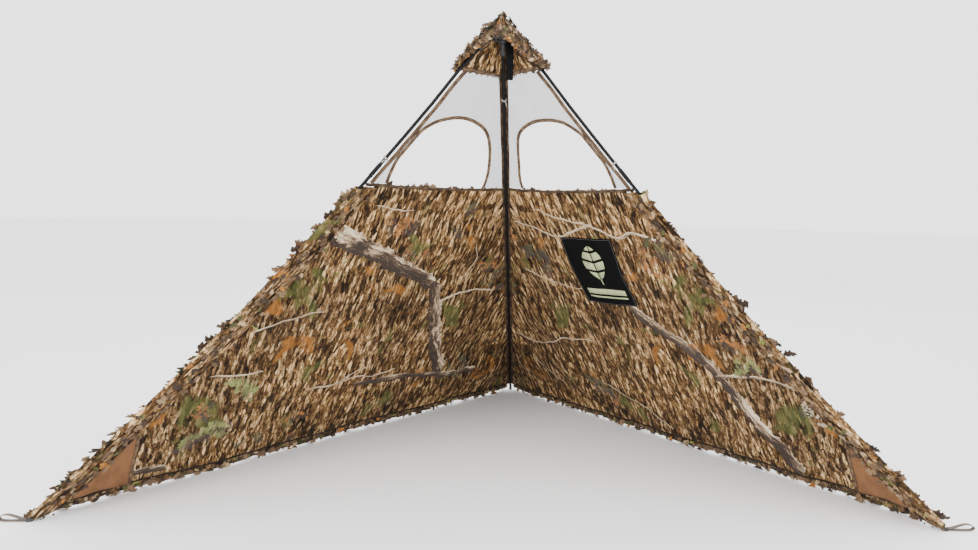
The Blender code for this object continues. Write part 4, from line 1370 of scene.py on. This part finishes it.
def tie(leg):
    """A pale elastic tie wound round a pole and knotted."""
    direction = unit(FEET[leg] - APEX)
    if leg == "centre":
        at = APEX + direction * 0.235
        across = np.array([1.0, 0.0, 0.0])
        out = unit(np.cross(across, direction))
        side = 1.0
    else:
        at = leg_line(leg, np.array(0.475))
        direction, across, out = leg_axes(leg)
        side = -1.0 if leg == "left" else 1.0
    path = []
    for i in range(60):
        angle = 2 * math.pi * 2.4 * i / 59
        rise = (i / 59 - 0.5) * 0.0055
        path.append(at + 0.0062 * (across * math.cos(angle) + out * math.sin(angle)) + direction * rise)
    knot = at - out * 0.0078
    ends = [
        knot, knot + across * 0.003 + direction * 0.001, knot + across * 0.006 * side + direction * 0.007,
        knot + across * 0.008 * side + direction * 0.016 - out * 0.001,
    ]
    verts, faces, uvs = tube(path, 0.0013)
    bar = [knot - across * 0.0026, knot - out * 0.0012, knot + across * 0.0026]
    for extra in (smooth_path(ends, 16), smooth_path(bar, 10)):
        more, more_faces, more_uvs = tube(extra, 0.0014)
        base = len(verts)
        verts += more
        faces += [tuple(i + base for i in face) for face in more_faces]
        uvs += more_uvs
    obj = build(f"knotted_tie_{leg}", verts, faces, [ELASTIC], uvs)
    finish_piece(obj, f"leg_{leg}", [f"tie_{leg}"])


# ---------------------------------------------------------------- printed branches and leaves

PRINT_GREEN = np.array((0.155, 0.175, 0.050))
PRINT_OLIVE = np.array((0.052, 0.056, 0.018))
PRINT_RUST = np.array((0.270, 0.100, 0.020))

# Each branch: its points down a panel, its width at both ends, and how much of it is pale bark.
BRANCHES = {
    "left": (
        (((0.31, 0.66), (0.21, 0.715), (0.10, 0.765), (-0.03, 0.835), (-0.17, 0.905)), 0.060, 0.040, 0.75),
        (((-0.165, 0.900), (-0.215, 1.02), (-0.262, 1.14), (-0.325, 1.27), (-0.385, 1.37)),
         0.044, 0.056, 1.10),
        (((-0.60, 1.420), (-0.47, 1.418), (-0.33, 1.385), (-0.19, 1.365), (0.02, 1.350)), 0.030, 0.016, 0.35),
        (((-0.215, 1.000), (-0.30, 0.965), (-0.40, 0.958), (-0.52, 0.972)), 0.012, 0.006, 0.9),
        (((0.53, 1.190), (0.45, 1.205), (0.37, 1.205)), 0.010, 0.006, 0.9),
        (((0.20, 1.335), (0.11, 1.335), (0.03, 1.315), (-0.07, 1.330), (-0.15, 1.320)), 0.009, 0.005, 1.0),
        (((0.09, 1.335), (0.03, 1.285), (-0.04, 1.270)), 0.006, 0.003, 1.0),
        (((0.45, 1.030), (0.37, 1.000), (0.29, 0.985), (0.23, 0.980)), 0.010, 0.005, 1.0),
        (((0.18, 0.585), (0.11, 0.600), (0.04, 0.605)), 0.006, 0.003, 1.0),
        (((-0.27, 0.735), (-0.31, 0.815), (-0.285, 0.890)), 0.005, 0.003, 0.9),
        (((0.80, 1.552), (0.70, 1.550), (0.60, 1.558)), 0.030, 0.022, 0.9),
    ),
    "right": (
        (((-0.34, 0.640), (-0.24, 0.668), (-0.14, 0.700), (-0.05, 0.665), (0.03, 0.640)), 0.006, 0.010, 1.0),
        (((-0.20, 0.585), (-0.10, 0.625), (0.01, 0.645), (0.10, 0.690), (0.18, 0.665), (0.27, 0.695)),
         0.006, 0.012, 0.95),
        (((0.05, 0.965), (0.13, 1.030), (0.21, 1.090), (0.28, 1.150), (0.33, 1.220)), 0.034, 0.042, 0.8),
        (((0.33, 1.215), (0.37, 1.300), (0.42, 1.400), (0.48, 1.500), (0.53, 1.580)), 0.032, 0.046, 0.75),
        (((0.31, 1.215), (0.40, 1.185), (0.49, 1.180), (0.60, 1.195)), 0.014, 0.010, 0.95),
        (((-0.66, 1.225), (-0.56, 1.250), (-0.46, 1.240), (-0.36, 1.190), (-0.20, 1.175)), 0.009, 0.005, 1.0),
        (((0.24, 1.020), (0.27, 1.100), (0.30, 1.160)), 0.006, 0.004, 0.9),
        (((-0.40, 0.850), (-0.26, 0.905), (-0.12, 0.915)), 0.006, 0.004, 0.9),
        (((-0.25, 1.400), (-0.14, 1.445), (-0.05, 1.500), (0.04, 1.560)), 0.006, 0.008, 0.85),
        (((-0.62, 1.330), (-0.58, 1.400), (-0.50, 1.470)), 0.006, 0.005, 0.9),
    ),
}
# Each clump of printed leaves: its middle, how far it spreads, how many, and its colour.
CLUMPS = {
    "left": (
        ((0.435, 1.265), 0.035, 3, PRINT_GREEN, 0.105), ((0.50, 1.445), 0.075, 6, PRINT_GREEN, 0.080),
        ((0.545, 1.340), 0.030, 3, PRINT_RUST, 0.070), ((0.07, 0.655), 0.060, 5, PRINT_RUST, 0.060),
        ((0.00, 0.735), 0.040, 4, PRINT_RUST, 0.050), ((-0.36, 0.850), 0.070, 6, PRINT_RUST, 0.045),
        ((-0.42, 0.915), 0.050, 4, PRINT_OLIVE, 0.055), ((-0.50, 1.385), 0.060, 5, PRINT_OLIVE, 0.055),
        ((0.20, 1.480), 0.060, 4, PRINT_RUST, 0.040), ((0.33, 1.500), 0.050, 4, PRINT_OLIVE, 0.060),
        ((-0.20, 0.600), 0.060, 5, PRINT_OLIVE, 0.050), ((-0.60, 1.250), 0.040, 4, PRINT_RUST, 0.040),
    ),
    "right": (
        ((-0.30, 0.780), 0.060, 6, PRINT_OLIVE, 0.065), ((-0.38, 0.700), 0.030, 3, PRINT_RUST, 0.040),
        ((0.20, 0.790), 0.060, 6, PRINT_RUST, 0.055), ((0.24, 0.720), 0.040, 4, PRINT_OLIVE, 0.060),
        ((0.40, 1.050), 0.050, 5, PRINT_RUST, 0.055), ((0.42, 1.130), 0.050, 5, PRINT_GREEN, 0.060),
        ((-0.28, 1.430), 0.060, 5, PRINT_OLIVE, 0.060), ((-0.20, 1.490), 0.050, 4, PRINT_RUST, 0.040),
        ((0.62, 1.300), 0.050, 4, PALE_WOOD, 0.055), ((-0.55, 0.980), 0.050, 4, PRINT_OLIVE, 0.050),
    ),
}


def print_noise(rng, count, length):
    """A smooth random run between -1 and 1."""
    knots = np.array([rng.uniform(-1.0, 1.0) for _ in range(max(3, int(length / 0.022) + 2))])
    return np.interp(np.linspace(0.0, len(knots) - 1.0, count), np.arange(len(knots)), knots)


def branch_strip(rng, points, first, last, pale):
    """A printed branch: pale where light falls on it, dark beneath, with ragged edges."""
    rough = smooth_path(points, 24)
    length = float(np.linalg.norm(np.diff(rough, axis=0), axis=1).sum())
    count = max(12, int(length / 0.006))
    path = smooth_path(points, count)
    slim = max(first, last) < 0.015
    sway = np.column_stack([print_noise(rng, count, length), print_noise(rng, count, length)])
    path = path + sway * (0.003 if slim else 0.005)
    tangent = tangents(path)
    chord = path[-1] - path[0]
    sign = 1.0 if (chord[0] if abs(chord[0]) > abs(chord[1]) * 0.5 else -1.0) > 0 else -1.0
    normal = np.column_stack([-tangent[:, 1], tangent[:, 0]]) * sign
    share = np.linspace(0.0, 1.0, count)
    half = (first + (last - first) * share) / 2
    half = half * (1.0 + 0.30 * print_noise(rng, count, length * 3))
    half *= np.minimum(1.0, np.minimum(share, 1 - share) * count / 3 + 0.15)
    columns = 4 if slim else 8
    across = np.linspace(-1.0, 1.0, columns)
    ragged = np.ones((count, columns))
    for edge in (0, -1):
        ragged[:, edge] += 0.25 * np.array([rng.uniform(-1.0, 1.0) for _ in range(count)])
    flat = path[:, None, :] + normal[:, None, :] * (half[:, None] * across[None, :] * ragged)[:, :, None]
    # The tint's brightness says how much of the bark is pale.
    level, swing = (0.78, 0.10) if slim else (0.50 + 0.28 * (pale - 0.6), 0.42)
    bright = level + swing * print_noise(rng, count, length / 3)
    if pale < 0.0:
        bright = np.full(count, 0.22)
    tint = np.repeat(bright, columns)[:, None] * np.ones(3)
    start = rng.uniform(0.0, 5.0)
    mark = np.column_stack([np.repeat(share * length + start, columns), np.tile(across, count)])
    return flat.reshape(-1, 2), tint, mark, grid_faces(count, columns), 0


def printed_leaf(rng, middle, size, colour):
    """A flat printed leaf with a dark rim on one side."""
    shape, faces = leaf_shape(rng.choice((2.4, 3.2, 4.1)), rng.uniform(0.0, 3.0), rng.uniform(0.34, 0.62), 16)
    angle = rng.uniform(0.0, 2 * math.pi)
    turn = np.array([[math.cos(angle), math.sin(angle)], [-math.sin(angle), math.cos(angle)]])
    flat = np.asarray(middle) + (shape - (0.5, 0.0)) @ turn * size
    shade = rng.uniform(0.65, 1.25)
    tint = np.asarray(colour)[None, :] * (shade * (1.0 - 0.7 * np.clip(shape[:, 1:] * 2.2, -0.3, 0.8)))
    return flat, tint, shape, faces, 1


def printed_motifs(side):
    """The branches and leaves of one panel's print, as a thin layer of ink on the cloth."""
    panel = PANELS[side]
    rng = random.Random(700 + SIDES.index(side))
    layers = []
    for points, first, last, pale in BRANCHES[side]:
        if max(first, last) > 0.02:
            shadow = [(x - 0.004, y + 0.34 * max(first, last)) for x, y in points]
            layers.append(branch_strip(rng, shadow, first * 0.8, last * 0.8, -0.4))
        layers.append(branch_strip(rng, points, first, last, pale))
    for middle, spread, count, colour, size in CLUMPS[side]:
        for _ in range(count):
            place = (middle[0] + rng.gauss(0.0, spread * 0.6), middle[1] + rng.gauss(0.0, spread * 0.6))
            if rng.random() < 0.45:
                shadow = (place[0] - 0.010, place[1] + 0.014)
                layers.append(printed_leaf(rng, shadow, size * 1.1, DARK_WOOD * 1.4))
            layers.append(printed_leaf(rng, place, size * rng.uniform(0.6, 1.05), colour))
    bm = bmesh.new()
    tint_layer = bm.verts.layers.float_vector.new("tint")
    mark_layer = bm.verts.layers.float_vector.new("mark")
    for depth, (flat, tints, marks, faces, look) in enumerate(layers):
        lift = 0.00004 * depth
        made = []
        for (x, y), tint, mark in zip(flat, tints, marks):
            vert = bm.verts.new((x, y, lift))
            vert[tint_layer] = tuple(tint)
            vert[mark_layer] = (mark[0], mark[1], 0.0)
            made.append(vert)
        for face in faces:
            bm.faces.new([made[i] for i in face]).material_index = look
    cut_at_crease(bm)
    for half, sign in HALVES.items():
        faces, looks = [], []
        for face in bm.faces:
            centre = face.calc_center_median()
            if centre.x * sign <= 0 or not CAMO_TOP + 0.016 < centre.y < CAMO_BOTTOM - 0.004:
                continue
            limit = float(panel.edge(sign, centre.y, 0.052 if sign > 0 else 0.012))
            if sign > 0:
                limit = min(limit, GUSSET_SEAM - 0.006)
            if abs(centre.x) < abs(limit):
                faces.append([v.index for v in face.verts])
                looks.append(face.material_index)
        used = sorted({i for face in faces for i in face})
        order = {old: new for new, old in enumerate(used)}
        local = np.array([bm.verts[i].co for i in used])
        tints = np.array([bm.verts[i][tint_layer] for i in used])
        marks = np.array([bm.verts[i][mark_layer] for i in used])[:, :2]
        height = CAMO_LIFT + relief(side, local[:, 0], local[:, 1]) - 0.0008 - local[:, 2] * 0.5
        world = panel.place(np.column_stack([local[:, :2], height]))
        faces = [tuple(order[i] for i in face) for face in faces]
        if side == "left":
            faces = [face[::-1] for face in faces]
        obj = build(f"print_{side}_{half}", world, faces, [BRANCH, PRINT], local[:, :2], tints, marks)
        obj.data.polygons.foreach_set("material_index", looks)
        finish_piece(obj, f"cloth_{side}_{half}")
    bm.free()


BADGE_MIDDLE = (-0.028, 0.832)
BADGE_SIZE = (0.216, 0.270)
BADGE_TURN = math.radians(-2.0)


def badge_point(u, v):
    """Panel coordinates of a point of the badge, from its middle, in metres."""
    cosine, sine = math.cos(BADGE_TURN), math.sin(BADGE_TURN)
    return BADGE_MIDDLE[0] + u * cosine - v * sine, BADGE_MIDDLE[1] + u * sine + v * cosine


def badge_piece(name, outlines, faces, lift, look, thickness):
    """A flat piece of the badge, cut at the panel's crease so that each part moves with its half."""
    panel = PANELS["right"]
    bm = bmesh.new()
    verts = [bm.verts.new((*badge_point(u, v), 0.0)) for u, v in outlines]
    for face in faces:
        bm.faces.new([verts[i] for i in face])
    cut_at_crease(bm)
    for half, sign in HALVES.items():
        chosen = [f for f in bm.faces if f.calc_center_median().x * sign > 0]
        if not chosen:
            continue
        used = sorted({v.index for f in chosen for v in f.verts})
        order = {old: new for new, old in enumerate(used)}
        local = np.array([bm.verts[i].co for i in used])
        height = CAMO_LIFT + relief("right", local[:, 0], local[:, 1]) - lift
        edge_faces = [tuple(order[v.index] for v in f.verts) for f in chosen]
        obj = build(
            f"{name}_{half}", panel.place(np.column_stack([local[:, :2], height])), edge_faces,
            [look], local[:, :2],
        )
        thicken(obj, thickness)
        finish_piece(obj, f"cloth_right_{half}")
    bm.free()


def badge():
    """A dark cloth badge sewn on the right panel, with a plain leaf and two bars."""
    rows, columns = 22, 18
    width, height = BADGE_SIZE
    outline = [
        (width * (c / (columns - 1) - 0.5), height * (r / (rows - 1) - 0.5))
        for r in range(rows) for c in range(columns)
    ]
    badge_piece("badge_cloth", outline, grid_faces(rows, columns), 0.0021, BADGE, 0.0008)
    rim = []
    corners = [(-1, -1), (1, -1), (1, 1), (-1, 1), (-1, -1)]
    for (x0, y0), (x1, y1) in zip(corners, corners[1:]):
        for i in range(16):
            f = i / 16
            rim.append((x0 + (x1 - x0) * f, y0 + (y1 - y0) * f))
    outline = [
        (x * (width / 2 - inset), y * (height / 2 - inset)) for inset in (0.0035, 0.0050) for x, y in rim
    ]
    count = len(rim)
    faces = [(i, (i + 1) % count, (i + 1) % count + count, i + count) for i in range(count)]
    badge_piece("badge_stitching", outline, faces, 0.0031, BADGE_THREAD, 0.0004)
    # The leaf: a plain pointed oval, split by its midrib and side veins.
    steps = 15
    outline, faces = [], []
    for side_sign in (-1, 1):
        start = len(outline)
        for i in range(steps):
            f = i / (steps - 1)
            swell = 0.046 * math.sin(math.pi * f) ** 0.8 * (1.0 - 0.25 * f)
            y = 0.030 - 0.135 * f
            outline.append((side_sign * 0.0024, y))
            outline.append((side_sign * (0.0024 + swell), y - 0.012 * math.sin(math.pi * f)))
        for i in range(steps - 1):
            if i % 4 != 3:
                a = start + 2 * i
                faces.append((a, a + 1, a + 3, a + 2))
    base = len(outline)
    outline += [(-0.0020, 0.030), (0.0020, 0.030), (0.0030, 0.052), (-0.0005, 0.052)]
    faces.append((base, base + 1, base + 2, base + 3))
    for low, high, reach in ((0.070, 0.092, 0.082), (0.101, 0.107, 0.082)):
        base = len(outline)
        cells = 10
        for i in range(cells + 1):
            x = reach * (2 * i / cells - 1)
            outline += [(x, low), (x, high)]
        faces += [(a, a + 1, a + 3, a + 2) for a in range(base, base + 2 * cells, 2)]
    badge_piece("badge_leaf", outline, faces, 0.0032, BADGE_PALE, 0.0004)


for side in SIDES:
    printed_motifs(side)
    for half in HALVES:
        camo_half(side, half)
        hem(side, half, "top")
        hem(side, half, "bottom")
        net_half(side, half)
        window_binding(side, half)
    edge_binding(side)
    sleeve(side)
    gusset(side)
    stake_loop(side)
    for half in HALVES:
        shell_half(side, half)
badge()
vertex_tape()
hood()
pull_strap()
for leg_name in FEET:
    tie(leg_name)

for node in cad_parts.values():
    if node.hide_render:
        continue
    for entry in node.material_slots:
        name = entry.material.name.split(".")[0] if entry.material else ""
        for key, look in CAD_LOOKS.items():
            if name.endswith(key):
                entry.material = look
